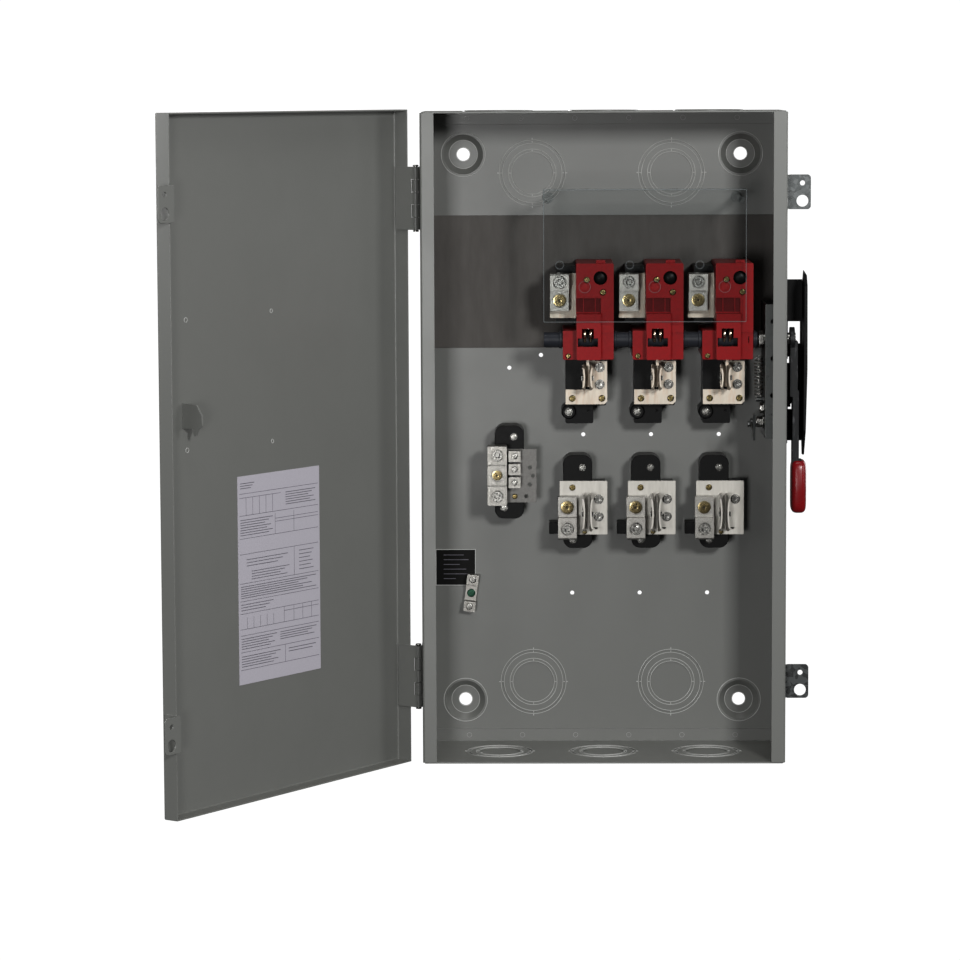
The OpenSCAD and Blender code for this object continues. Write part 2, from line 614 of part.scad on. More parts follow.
module socket_screw(r, h) difference() {
    cylinder(h = h, r = r);
    translate([0, 0, h - 2]) cylinder(h = 3, r = r * 0.5, $fn = 6);
}
module lug_screws() color("#a8aaa8") {
    line_top = line_plate_h + plate_t + lug_h - 2.9;
    load_top = load_plate_h + plate_t + lug_h - 2.8;
    for (x = pole_x) {
        on_back(x + line_lug_x, line_lug_z + line_lug_l - lug_end / 2, line_top) socket_screw(6.2, 2.2);
        on_back(x - 22, load_lug_z - load_lug_l + load_lug_end / 2, load_top) socket_screw(6.2, 2.2);
    }
    for (z = [-24, 21]) on_back(neutral_x - 13, neutral_z + z, neutral_top + 22.05) socket_screw(5.8, 1.6);
    for (z = small_lug_z) on_back(neutral_x + 5.9, z, neutral_top + 12.55) slotted_head(3.3, 1.2, 20);
    for (s = [-1, 1]) on_ground() translate([0, s * 15, 12.05]) slotted_head(3.7, 1.4, 35 * s);
}
module terminal_screws() color("#8b7a3a") {
    for (x = pole_x) {
        for (p = cover_screws) on_back(x + p[0], rotor_z + p[1], cover_h - 1.45) slotted_head(3.3, 2.2, 60);
        on_back(x + ear_screw[0], rotor_z + ear_screw[1], ear_h - 1.45) slotted_head(2.8, 2.2, 15);
        for (p = [[-16.4, -67.2, 40], [16, -67.2, 110]])
            on_back(x + p[0], rotor_z + p[1], fuse_plate_h + plate_t + 0.05) slotted_head(3.6, 2.2, p[2]);
        on_back(x - 16.4, load_base_z + 15.9, load_plate_h + plate_t + 0.05) slotted_head(3.4, 1.8, 50);
        on_back(x - 3, load_base_z - 33.2, load_plate_h + plate_t + 0.05) slotted_head(2.6, 1.8, 100);
        on_back(x + load_base_x + 5.1, load_base_z + 37.6, base_h + 0.1) slotted_head(4, 2.4, 70);
        on_back(x + load_base_x - 5.5, load_base_z - 42.4, base_h + 0.1) slotted_head(4, 2.4, 25);
        on_back(x + boss[0], upper_base_z0 + boss[1], 42.25) slotted_head(4.4, 2.4, 80);
        on_back(x + line_lug_x, line_lug_z + lug_bolt, line_plate_h + plate_t + lug_h * 0.62 - 1.4) hex_head(5.8, 5);
        on_back(x - 22, load_lug_z - lug_bolt, load_plate_h + plate_t + lug_h * 0.62 - 1.35) hex_head(5.8, 5);
    }
    on_back(neutral_x - 13, neutral_z - 1, neutral_top + 22.05) hex_head(4.6, 3.4);
    on_back(neutral_x + 4.9, neutral_z + 39, base_h + 0.1) slotted_head(4, 2.4, 70);
    on_back(neutral_x - 5.9, neutral_z - 39.6, base_h + 0.1) slotted_head(4, 2.4, 130);
    on_back(neutral_x + 6, neutral_z - 26.5, neutral_top + 0.05) slotted_head(3, 2, 10);
    on_ground() translate([0, 0, 9.05]) slotted_head(4.6, 2.4, 95);
}
module hex_bolts() color("#8d9093") {
    for (i = [0:2]) {
        for (z = [-33.2, -51.6]) on_back(pole_x[i] + 13.6, rotor_z + z, fuse_plate_h + plate_t + 1.95) hex_head(4.4, 4.4);
        on_back(pole_x[i] + 12.6, load_base_z + 3.3, load_plate_h + plate_t + 1.95) hex_head(4.4, 4.4);
        if (i < 2) on_back(pole_x[i] + 12.6, load_base_z - 16, load_plate_h + plate_t + 1.95) hex_head(4.4, 4.4);
    }
    for (p = [[-74.2, 5], [-89.4, 8.6]]) translate([mech_x - 0.05, rotor_y, rotor_z + p[0]]) rotate([0, -90, 0]) hex_head(6, p[1]);
}

// ---------- rotor ----------

blade_w = 12;
// Side view of a blade leaf, turned to the off position
module blade_form(grow = 0) rotate([0, 90, 0]) linear_extrude(blade_t + 2 * grow)
    rotate(-blade_off) {
        square([blade_w + 2 * grow, 2 * blade_reach - blade_w], center = true);
        for (s = [-1, 1]) translate([0, s * (blade_reach - blade_w / 2)]) circle(blade_w / 2 + grow);
    }
// Both leaves of every pole; grow makes the matching slots in the rotor
module at_blades(grow = 0) for (x = pole_x, s = [-1, 1])
    translate([x + s * (contact_t / 2 + 0.3 + blade_t / 2) - blade_t / 2 - grow, rotor_y, rotor_z]) blade_form(grow);
module switch_blades() color("#c8b48c") at_blades();
module rotor_shaft() color("#2b2e33") difference() {
    union() {
        rod_x(pole_x[0] - 47.4, mech_x - 8, rotor_h, rotor_z, rotor_r);
        for (x = pole_x) {
            rod_x(x + ear_left - 4, x + ear_left - 1.2, rotor_h, rotor_z, rotor_r + 1.4);
            rod_x(x + pole_right + 0.9, x + pole_right + 2.9, rotor_h, rotor_z, rotor_r + 1.4);
        }
    }
    at_blades(0.05);
}

// ---------- operating mechanism ----------

mech_front = front_y + 27;
mech_back = back_in - 26;
mech_z0 = rotor_z - 106.6;
mech_z1 = rotor_z + 38.4;
spring_z0 = rotor_z - 62;
spring_z1 = rotor_z - 21;
latch_h = rotor_h - 16;
latch_z = hook_z - 28;
module mechanism_plate() color("#9a9d9b") difference() {
    union() {
        translate([mech_x, mech_front, mech_z0]) cube([2, mech_back - mech_front, mech_z1 - mech_z0]);
        for (y = [mech_front, mech_back - 2]) translate([mech_x, y, mech_z0])
            cube([wall_in - mech_x - 0.1, 2, mech_z1 - mech_z0]);
        // studs for the latch and the spring
        rod_x(hook_x - 3, mech_x + 1, latch_h, latch_z, 3);
        rod_x(mech_x - 9, mech_x + 1, rotor_h - 6, spring_z0 - 3.6, 2.5);
    }
    rod_x(mech_x - 1, mech_x + 3, rotor_h, rotor_z, shaft_r + 0.6);
    for (z = [14, 30]) rod_x(mech_x - 1, mech_x + 3, rotor_h + 2, rotor_z + z, 3);
    for (z = [20, -20, -60]) translate([mech_x + 8, mech_front - 1, rotor_z + z]) rotate([-90, 0, 0]) cylinder(h = 4, r = 2.4);
}

// Toggle spring: a helix swept in closed form
spring_r = 4.6;
wire = 0.7;
spring_turns = 11;
function ring_point(t, a) = let (turn = 360 * spring_turns * t, out = spring_r + wire * cos(a))
    [out * cos(turn), out * sin(turn), (spring_z1 - spring_z0) * t + wire * sin(a)];
module mechanism_spring() color("#b0b2b0") translate([mech_x - 6, back_in - rotor_h + 6, spring_z0]) {
    sides = 6;
    steps = spring_turns * 14;
    polyhedron(
        points = [for (i = [0:steps], k = [0:sides - 1]) ring_point(i / steps, -360 * k / sides)],
        faces = concat(
            [[for (k = [0:sides - 1]) k]],
            [for (i = [0:steps - 1], k = [0:sides - 1]) let (n = (k + 1) % sides)
                [i * sides + k, (i + 1) * sides + k, (i + 1) * sides + n, i * sides + n]],
            [[for (k = [sides - 1:-1:0]) steps * sides + k]]));
}

// Interlock latch, drawn level and dropped clear of the door's hook while the switch is off
latch_drop = 10;
latch_reach = 52.4;
module interlock_latch() color("#9a9d9b") translate([hook_x, back_in - latch_h, latch_z]) rotate([latch_drop, 0, 0]) difference() {
    union() {
        rotate([0, 90, 0]) cylinder(h = 2.5, r = 6.5);
        translate([0, -latch_reach, -4]) cube([2.5, latch_reach, 8]);
        translate([0, -latch_reach, -4]) cube([2.5, 5.4, 28.5]);
    }
    translate([-1, 0, 0]) rotate([0, 90, 0]) cylinder(h = 5, r = 3.05);
}

module handle_shaft() color("#77797a") {
    rod_x(mech_x - 4, bracket_x0 + 11.5, rotor_h, rotor_z, shaft_r);
    translate([mech_x - 6.5, rotor_y, rotor_z]) rotate([0, 90, 0]) cylinder(h = 5, r = shaft_r + 2.6, $fn = 6);
}
bracket_y0 = front_y + 19;
bracket_y1 = rotor_y + 22;
bracket_z0 = rotor_z - 111.7;
bracket_z1 = bracket_z0 + bracket_h;
module handle_bracket() color("#1a1a1b") difference() {
    union() {
        translate([bracket_x0 + 0.1, rotor_y - 12, bracket_z0]) cube([2.4, bracket_y1 - rotor_y + 12, bracket_h]);
        translate([bracket_x0 + 0.1, bracket_y1 - 2.5, bracket_z0]) cube([bracket_x1 - bracket_x0, 2.5, bracket_h]);
        // outer guard, with the lower end leaning in and a pointed end each way
        intersection() {
            translate([0, bracket_y1, 0]) rotate([90, 0, 0]) linear_extrude(bracket_y1 - bracket_y0)
                polygon([[bracket_x1, bracket_z1 + 11], [bracket_x1 + 3, bracket_z1 + 6], [bracket_x1 + 3.4, bracket_z0 + 80],
                         [bracket_x1 + 1.3, bracket_z0 - 13], [bracket_x1 - 0.7, bracket_z0 - 13],
                         [bracket_x1, bracket_z0 + 60]]);
            translate([bracket_x1 - 10, (bracket_y0 + bracket_y1) / 2, 0]) rotate([90, 0, 90]) linear_extrude(20)
                polygon([[-26, bracket_z0 + 20], [-5, bracket_z0 - 13], [5, bracket_z0 - 13], [26, bracket_z0 + 20],
                         [26, bracket_z1 - 8], [5, bracket_z1 + 11], [-5, bracket_z1 + 11], [-26, bracket_z1 - 8]]);
        }
    }
    rod_x(bracket_x0 - 1, bracket_x0 + 4, rotor_h, rotor_z, shaft_r + 1.2);
    // see-through slot beside the lever hub, side relief and L-shaped notch
    translate([bracket_x0 + 2.6, bracket_y1 - 4, rotor_z - 6.2]) cube([bracket_x1 - bracket_x0 - 4.6, 6, 24.1]);
    translate([bracket_x0 - 1, rotor_y - 13, rotor_z - 27.4]) cube([7.4, 40, 6.9]);
    translate([bracket_x0 + 7.8, bracket_y1 - 4, rotor_z - 77.6]) cube([3.3, 6, 6]);
    translate([bracket_x0 + 4.9, bracket_y1 - 4, rotor_z - 77.6]) cube([3, 6, 2.4]);
}

// Lever: round hub, thick upper half and a thinner arm set further out
module handle_lever() color("#2a2b2d") translate([bracket_x0, rotor_y, rotor_z]) difference() {
    union() {
        translate([5.2, 0, 0]) rotate([0, 90, 0]) cylinder(h = 5.2, r = 13);
        translate([5.2, -lever_w / 2, -62]) cube([8.6, lever_w, 60]);
        translate([lever_x0, -lever_w / 2, -handle_reach + 12]) cube([lever_t, lever_w, handle_reach - 67]);
    }
    translate([-1, 0, 0]) rotate([0, 90, 0]) cylinder(h = 20, r = shaft_r + 0.02);
}
grip_t = 16.8;
module handle_grip() color("#7a1015") translate([bracket_x0 + 6.7 + grip_t / 2, rotor_y, rotor_z - handle_reach]) difference() {
    intersection() {
        translate([0, 20, grip_l / 2]) rotate([90, 0, 0]) linear_extrude(40) rounded(grip_t, grip_l, 4.5);
        translate([-10, 0, grip_l / 2]) rotate([90, 0, 90]) linear_extrude(20) rounded(34, grip_l, 9);
    }
    translate([lever_x0 - 6.7 - grip_t / 2 - 0.1, -lever_w / 2 - 0.1, 12 - 0.1]) cube([lever_t + 0.2, lever_w + 0.2, grip_l]);
}

// ---------- output ----------

box_wrap();
top_wall();
bottom_wall();
hasp_tabs();
box_hinge_leaves();
hinge_pins();
insulating_liner();
line_shield();
shield_posts();
service_label();
line_terminal_blocks();
for (i = [1:3]) {
    pole_base(i);
    arc_cover(i);
    line_lug(i);
    upper_fuse_base(i);
    upper_fuse_clip(i);
    lower_fuse_base(i);
    lower_fuse_clip(i);
    load_lug(i);
}
line_contacts();
fuse_plates();
load_plates();
neutral_base();
neutral_plate();
neutral_large_lugs();
neutral_small_lugs();
ground_lug();
lug_screws();
terminal_screws();
hex_bolts();
rotor_shaft();
switch_blades();
mechanism_plate();
mechanism_spring();
interlock_latch();
handle_bracket();
handle_shaft();
handle_lever();
handle_grip();
door_pan();
door_hinge_leaves();
latch_tabs();
interlock_hook();
door_label();
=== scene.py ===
"""Looks of a fusible safety switch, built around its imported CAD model.

The CAD nodes fix every place. Most of them are dressed as bevelled copies; screws, clips,
spring, grip, shield and labels are modelled afresh where their CAD solids stand.
Lengths are in millimetres while a piece is modelled and in metres in the scene.
"""
import json
import logging
import math
from dataclasses import dataclass, field
from enum import Enum
from typing import Callable, Iterable, Optional, Sequence

import bmesh
import bpy
from mathutils import Matrix, Vector

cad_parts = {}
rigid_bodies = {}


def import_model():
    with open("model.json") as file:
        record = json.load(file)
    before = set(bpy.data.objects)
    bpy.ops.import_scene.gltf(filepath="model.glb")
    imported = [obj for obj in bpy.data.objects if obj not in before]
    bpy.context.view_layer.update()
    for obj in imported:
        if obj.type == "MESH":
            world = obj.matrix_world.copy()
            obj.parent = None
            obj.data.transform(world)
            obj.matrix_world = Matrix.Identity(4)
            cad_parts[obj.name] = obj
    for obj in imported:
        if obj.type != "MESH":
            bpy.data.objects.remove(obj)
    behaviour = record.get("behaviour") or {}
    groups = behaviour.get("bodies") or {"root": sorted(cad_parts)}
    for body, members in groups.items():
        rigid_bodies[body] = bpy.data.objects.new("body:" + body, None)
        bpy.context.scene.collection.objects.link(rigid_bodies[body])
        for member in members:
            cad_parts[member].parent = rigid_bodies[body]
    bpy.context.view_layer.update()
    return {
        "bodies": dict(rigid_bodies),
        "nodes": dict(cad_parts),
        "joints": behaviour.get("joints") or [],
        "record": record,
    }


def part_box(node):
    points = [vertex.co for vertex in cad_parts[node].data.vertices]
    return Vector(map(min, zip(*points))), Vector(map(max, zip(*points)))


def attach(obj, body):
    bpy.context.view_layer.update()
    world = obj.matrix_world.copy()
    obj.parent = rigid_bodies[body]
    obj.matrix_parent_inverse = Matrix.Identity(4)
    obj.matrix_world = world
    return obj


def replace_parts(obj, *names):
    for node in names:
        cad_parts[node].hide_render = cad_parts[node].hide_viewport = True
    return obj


LOG = logging.getLogger("safety_switch")
MM = 0.001
POLES = (1, 2, 3)

Tree = bpy.types.NodeTree
Node = bpy.types.Node
Socket = bpy.types.NodeSocket
Piece = bpy.types.Object
Material = bpy.types.Material
Point = Sequence[float]


# ---------------------------------------------------------------- materials


def linear(hex_colour: str, alpha: float = 1.0) -> tuple[float, float, float, float]:
    """Turns an sRGB hex colour into the linear RGBA that a shader takes.

    Args:
        hex_colour: six hex digits with a leading hash.
        alpha: opacity.

    Returns:
        Linear red, green, blue and alpha.
    """
    parts = [int(hex_colour[i:i + 2], 16) / 255 for i in (1, 3, 5)]
    curve = [p / 12.92 if p <= 0.04045 else ((p + 0.055) / 1.055) ** 2.4 for p in parts]
    return (*curve, alpha)


def add(tree: Tree, kind: str, settings: Optional[dict] = None, **links: Socket) -> Node:
    """Adds one node, sets its values and links its inputs.

    Args:
        tree: the node tree to add to.
        kind: the node type's Blender name.
        settings: attribute names or input names and indices, with their values.
        links: input name, with underscores for spaces, to the output socket that feeds it.

    Returns:
        The new node.
    """
    node = tree.nodes.new(kind)
    for name, value in (settings or {}).items():
        if isinstance(name, str) and hasattr(node, name):
            setattr(node, name, value)
        else:
            node.inputs[name].default_value = value
    for name, socket in links.items():
        key = int(name[3:]) if name.startswith("in_") else name.replace("_", " ")
        tree.links.new(socket, node.inputs[key])
    return node


def blend_colour(tree: Tree, factor: Socket, under: Socket, over: str) -> Socket:
    """Mixes a plain colour over another by a factor."""
    mixed = add(tree, "ShaderNodeMix", {"data_type": "RGBA", 7: linear(over)})
    tree.links.new(factor, mixed.inputs[0])
    tree.links.new(under, mixed.inputs[6])
    return mixed.outputs[2]


@dataclass(frozen=True)
class Finish:
    """A surface finish: its shader values, and the patterns that vary it."""

    name: str
    colour: str
    colour_2: str
    roughness: float
    metallic: float = 0.0
    ior: float = 1.5
    coat: float = 0.0
    coat_roughness: float = 0.1
    specular: float = 0.5
    grain_mm: float = 6.0
    mix: float = 0.6
    rough_spread: float = 0.06
    bump_mm: float = 0.015
    bump_scale_mm: float = 0.8
    stretch: tuple[float, float, float] = (1.0, 1.0, 1.0)
    worn: str = ""
    wear: float = 0.0
    dust: float = 0.0

    def build(self) -> Material:
        """Makes the node material for this finish.

        Returns:
            The finished material.
        """
        material = bpy.data.materials.new(self.name)
        material.use_nodes = True
        tree = material.node_tree
        tree.nodes.clear()
        shader = add(tree, "ShaderNodeBsdfPrincipled", {
            "Metallic": self.metallic, "IOR": self.ior, "Coat Weight": self.coat,
            "Coat Roughness": self.coat_roughness, "Specular IOR Level": self.specular})
        place = add(tree, "ShaderNodeTexCoord")
        mapping = add(tree, "ShaderNodeMapping", {"Scale": self.stretch}, Vector=place.outputs["Object"])
        coords = mapping.outputs["Vector"]
        factor = self.pattern(tree, coords)
        spread = add(tree, "ShaderNodeMapRange",
                     {"From Min": 0.3, "From Max": 0.7, "To Min": 0.0, "To Max": self.mix}, Value=factor)
        base = add(tree, "ShaderNodeRGB")
        base.outputs[0].default_value = linear(self.colour)
        colour = blend_colour(tree, spread.outputs["Result"], base.outputs[0], self.colour_2)
        if self.worn:
            colour = blend_colour(tree, self._edge_wear(tree, coords), colour, self.worn)
        if self.dust:
            colour = blend_colour(tree, self._settled_dust(tree, coords), colour, "#a9a59b")
        tree.links.new(colour, shader.inputs["Base Color"])
        rough = add(tree, "ShaderNodeMapRange", {
            "From Min": 0.25, "From Max": 0.75, "To Min": self.roughness - self.rough_spread,
            "To Max": self.roughness + self.rough_spread}, Value=factor)
        tree.links.new(rough.outputs["Result"], shader.inputs["Roughness"])
        bump = add(tree, "ShaderNodeBump", {"Strength": 1.0, "Distance": self.bump_mm * MM},
                   Height=self.relief(tree, coords))
        tree.links.new(bump.outputs["Normal"], shader.inputs["Normal"])
        add(tree, "ShaderNodeOutputMaterial", {}, Surface=self.surface(tree, shader))
        return material

    def pattern(self, tree: Tree, coords: Socket) -> Socket:
        """Colour variation of the finish, as a value from 0 to 1."""
        cloud = add(tree, "ShaderNodeTexNoise",
                    {"Scale": 1000 / self.grain_mm, "Detail": 5.0, "Roughness": 0.6}, Vector=coords)
        return cloud.outputs["Fac"]

    def relief(self, tree: Tree, coords: Socket) -> Socket:
        """Height pattern of the finish."""
        fine = add(tree, "ShaderNodeTexNoise",
                   {"Scale": 1000 / self.bump_scale_mm, "Detail": 3.0, "Roughness": 0.5}, Vector=coords)
        return fine.outputs["Fac"]

    def surface(self, tree: Tree, shader: Node) -> Socket:
        """The shader that reaches the output."""
        return shader.outputs["BSDF"]

    def _edge_wear(self, tree: Tree, coords: Socket) -> Socket:
        """Mask of convex edges, broken up by noise."""
        edge = add(tree, "ShaderNodeNewGeometry")
        patchy = add(tree, "ShaderNodeTexNoise", {"Scale": 400.0, "Detail": 4.0}, Vector=coords)
        total = add(tree, "ShaderNodeMath", {"operation": "ADD"}, in_0=edge.outputs["Pointiness"],
                    in_1=patchy.outputs["Fac"])
        mask = add(tree, "ShaderNodeMapRange", {"From Min": 1.12, "From Max": 1.3, "To Max": self.wear},
                   Value=total.outputs[0])
        return mask.outputs["Result"]

    def _settled_dust(self, tree: Tree, coords: Socket) -> Socket:
        """Mask of upward faces, where a thin film of dust settles."""
        facing = add(tree, "ShaderNodeNewGeometry")
        split = add(tree, "ShaderNodeSeparateXYZ", {}, Vector=facing.outputs["Normal"])
        upward = add(tree, "ShaderNodeMapRange", {"From Min": 0.5, "From Max": 1.0, "To Max": self.dust},
                     Value=split.outputs["Z"])
        specks = add(tree, "ShaderNodeTexNoise", {"Scale": 700.0, "Detail": 4.0}, Vector=coords)
        mask = add(tree, "ShaderNodeMath", {"operation": "MULTIPLY"}, in_0=upward.outputs["Result"],
                   in_1=specks.outputs["Fac"])
        return mask.outputs[0]


@dataclass(frozen=True)
class Spangle(Finish):
    """Hot-dip zinc, whose crystals show as flat patches of slightly different grey."""

    def pattern(self, tree: Tree, coords: Socket) -> Socket:
        """Crystal patches, one value each."""
        cells = add(tree, "ShaderNodeTexVoronoi", {"Scale": 1000 / self.grain_mm}, Vector=coords)
        split = add(tree, "ShaderNodeSeparateColor", {}, Color=cells.outputs["Color"])
        return split.outputs["Red"]


@dataclass(frozen=True)
class ClearSheet(Finish):
    """Clear moulded polycarbonate: nearly invisible face on, with reflections at a low angle."""

    tint: str = "#ffffff"
    haze: float = 0.02

    def surface(self, tree: Tree, shader: Node) -> Socket:
        """See-through body with the sheet's own gloss mixed over it."""
        through = add(tree, "ShaderNodeBsdfTransparent", {"Color": linear(self.tint)})
        rim = add(tree, "ShaderNodeLayerWeight", {"Blend": 0.25})
        share = add(tree, "ShaderNodeMapRange", {"From Min": 0.05, "From Max": 1.0, "To Min": self.haze, "To Max": 0.5},
                    Value=rim.outputs["Facing"])
        mixed = add(tree, "ShaderNodeMixShader", {}, Fac=share.outputs["Result"])
        tree.links.new(through.outputs["BSDF"], mixed.inputs[1])
        tree.links.new(shader.outputs["BSDF"], mixed.inputs[2])
        return mixed.outputs["Shader"]


class Surface(Enum):
    """The finishes of this switch, each named for its real material."""

    # Baked grey enamel: even colour, faint orange peel, soft highlights
    ENAMEL = Finish("baked_enamel_steel", "#727370", "#6d6e6b", 0.36, grain_mm=70, bump_mm=0.01,
                    bump_scale_mm=1.8, rough_spread=0.04, coat=0.1, coat_roughness=0.25, dust=0.12)
    # The same enamel, glossy and painted far lighter over pressed edges, ties and rims: a painted highlight
    ENAMEL_HIGHLIGHT = Finish("enamel_painted_highlight", "#b9bab7", "#b0b1ae", 0.16, grain_mm=70, bump_mm=0.004,
                         rough_spread=0.03, coat=0.6, coat_roughness=0.08)
    # Hot-dip galvanised strip: patchy crystals, dull metal shine
    GALVANISED = Spangle("hot_dip_galvanised_steel", "#5e6060", "#484b4b", 0.38, metallic=0.9, grain_mm=4,
                         bump_mm=0.006, rough_spread=0.12)
    # Dark oiled steel of the drive
    DARK_STEEL = Finish("dark_oiled_steel", "#5a5c5b", "#434544", 0.34, metallic=0.85, grain_mm=9,
                        bump_mm=0.008, rough_spread=0.1)
    # Bright zinc plate on turned and pressed fasteners
    ZINC = Finish("bright_zinc_plate", "#979692", "#6d6c69", 0.24, metallic=1.0, grain_mm=2,
                  bump_mm=0.006, bump_scale_mm=0.4, rough_spread=0.1)
    # Yellow passivated steel: muted gold with a greenish cast in patches
    YELLOW_ZINC = Finish("yellow_passivated_steel", "#7c6f4d", "#4a432b", 0.24, metallic=1.0, grain_mm=1.6,
                         bump_mm=0.008, bump_scale_mm=0.4, rough_spread=0.1)
    # Turned brass of the lug bolts
    BRASS = Finish("turned_brass", "#8d8060", "#51472f", 0.22, metallic=1.0, grain_mm=2.5, bump_mm=0.006,
                   bump_scale_mm=0.3)
    # Matt tin on copper bar: warm white metal with rolling lines, copper showing at rubbed edges
    TIN = Finish("tin_plated_copper", "#c9c0b2", "#b8afa1", 0.42, metallic=0.3, grain_mm=4, bump_mm=0.012,
                 bump_scale_mm=0.5, rough_spread=0.1, stretch=(1, 1, 0.15), worn="#b98a62", wear=0.25)
    # The same plate after it has dulled
    DULL_TIN = Finish("dulled_tin_plate", "#bab7b0", "#a29f98", 0.42, metallic=0.4, grain_mm=4, bump_mm=0.012,
                      bump_scale_mm=0.5, rough_spread=0.1, stretch=(1, 1, 0.15))
    # Older, greyer tin of the neutral bar
    GREY_TIN = Finish("grey_tin_plate", "#6c6b68", "#585654", 0.4, metallic=0.5, grain_mm=2, bump_mm=0.012,
                      bump_scale_mm=0.5, rough_spread=0.1)
    # Silver-tipped copper of the moving blades
    COPPER = Finish("silvered_copper_blade", "#e6dac6", "#c9a98a", 0.25, metallic=1.0, grain_mm=7, bump_mm=0.008)
    # Sawn and tinned aluminium extrusion: fine, strongly mottled grain
    LUG = Finish("tinned_aluminium_extrusion", "#a5a39e", "#5f5d59", 0.34, metallic=0.8, grain_mm=0.9, mix=0.9,
                 bump_mm=0.03, bump_scale_mm=0.6, rough_spread=0.12)
    # Green-dyed ground screw
    GREEN = Finish("green_dyed_screw", "#1d4a36", "#133024", 0.35, metallic=0.6, grain_mm=2)
    # Glass-filled polyester: deep red, slightly mottled by the fibre
    RED = Finish("glass_polyester_red", "#8c0e13", "#740a0e", 0.34, specular=0.15, grain_mm=3.5, bump_mm=0.012,
                 bump_scale_mm=0.9, rough_spread=0.06, dust=0.08)
    # Phenolic moulding: near black, small sharp highlights
    PHENOLIC = Finish("black_phenolic", "#121212", "#0c0c0c", 0.36, specular=0.12, grain_mm=4, bump_mm=0.012, dust=0.1)
    # The same red moulding, painted darker in the sunken fields: painted shade where little light reaches
    RED_PAINTED_SHADE = Finish("glass_polyester_red_painted_shade", "#5a0a0d", "#4a0709", 0.4, specular=0.1, grain_mm=3.5)
    # Slate-coloured thermoset of the rotor
    SLATE = Finish("slate_thermoset", "#303238", "#26282d", 0.4, specular=0.2, grain_mm=5, bump_mm=0.012)
    # Vulcanised fibre sheet: dull, faintly fibrous
    FIBRE = Finish("vulcanised_fibre_sheet", "#5c5956", "#53504d", 0.55, specular=0.2, grain_mm=9, bump_mm=0.02,
                   bump_scale_mm=0.7, stretch=(1, 1, 0.25))
    # Black powder coat: fine pimpled texture
    POWDER = Finish("black_powder_coat", "#0d0d0e", "#09090a", 0.5, specular=0.15, grain_mm=8, bump_mm=0.03,
                    bump_scale_mm=0.5)
    # Blackened lever steel, rubbed bright at the edges
    LEVER = Finish("blackened_steel", "#1f2021", "#17181a", 0.4, metallic=0.1, specular=0.25, grain_mm=10,
                   stretch=(1, 1, 0.2), worn="#77787a", wear=0.4)
    # Dipped vinyl grip: smooth red with a waxy gloss
    VINYL = Finish("red_dipped_vinyl", "#7d1016", "#690b10", 0.3, specular=0.35, grain_mm=12, bump_mm=0.02,
                   bump_scale_mm=1.2)
    # Clear sheet: its body adds no colour of its own, only a slight smoke and its gloss
    CLEAR = ClearSheet("clear_polycarbonate", "#181a1b", "#141617", 0.12, ior=1.585, bump_mm=0.002,
                       rough_spread=0.03, tint="#f7f8f8", haze=0.008)
    # Clear moulded posts: paler body and more haze, a painted sheen that keeps their round sides light
    CLEAR_POST = ClearSheet("clear_polycarbonate_post", "#8d9092", "#838688", 0.15, ior=1.585, bump_mm=0.002,
                            rough_spread=0.03, tint="#fbfcfc", haze=0.03)
    # Bead along the shield's moulded edges and hole rims: pale body and more haze, a painted highlight
    CLEAR_HIGHLIGHT = ClearSheet("clear_polycarbonate_highlight", "#c2c6c8", "#b4b8ba", 0.2, ior=1.585, bump_mm=0.002,
                            rough_spread=0.03, tint="#eef2f3", haze=0.14)
    BLACK_FILM = Finish("black_label_film", "#141413", "#10100f", 0.5, specular=0.12, grain_mm=20, bump_mm=0.003)
    PALE_INK = Finish("pale_ink", "#c3c4c2", "#b4b5b3", 0.6, grain_mm=10, bump_mm=0.003)
    GREY_INK = Finish("grey_ink", "#66646c", "#5c5a62", 0.7, grain_mm=10, bump_mm=0.002)
    PAPER = Finish("uncoated_label_paper", "#b0adb5", "#a7a4ac", 0.8, grain_mm=1.5, bump_mm=0.008, bump_scale_mm=0.3)
    # Near black laid into sockets and slots that little light reaches: painted shade
    DARK = Finish("shadowed_socket", "#0b0b0b", "#070707", 0.7)


# ---------------------------------------------------------------- modelling


def on_wall(x: float, y: float, z: float, turn_deg: float = 0.0) -> Matrix:
    """Place with local Z pointing out of the wall and local Y up."""
    return (Matrix.Translation((x, y, z)) @ Matrix.Rotation(math.pi / 2, 4, "X")
            @ Matrix.Rotation(math.radians(turn_deg), 4, "Z"))


def facing_left(x: float, y: float, z: float) -> Matrix:
    """Place with local Z pointing to -X."""
    return Matrix.Translation((x, y, z)) @ Matrix.Rotation(-math.pi / 2, 4, "Y")


def arc(radius: float, start_deg: float, end_deg: float, steps: int) -> list[Vector]:
    """Points of an arc about the origin."""
    angles = [math.radians(start_deg + (end_deg - start_deg) * i / steps) for i in range(steps + 1)]
    return [Vector((radius * math.cos(a), radius * math.sin(a))) for a in angles]


@dataclass(frozen=True)
class Extent:
    """Box of one solid, in millimetres."""

    low: Vector
    high: Vector

    @property
    def centre(self) -> Vector:
        """Middle of the box."""
        return (self.low + self.high) / 2

    @property
    def size(self) -> Vector:
        """Edge lengths of the box."""
        return self.high - self.low

    @staticmethod
    def of(points: Sequence[Vector]) -> "Extent":
        """Box round some points given in metres."""
        return Extent(Vector([min(p[i] for p in points) for i in range(3)]) / MM,
                      Vector([max(p[i] for p in points) for i in range(3)]) / MM)


def merged(node: Piece) -> bmesh.types.BMesh:
    """Copy of a CAD node's mesh with its doubled vertices joined."""
    form = bmesh.new()
    form.from_mesh(node.data)
    bmesh.ops.transform(form, matrix=node.matrix_world, verts=form.verts)
    bmesh.ops.remove_doubles(form, verts=form.verts, dist=2e-6)
    return form


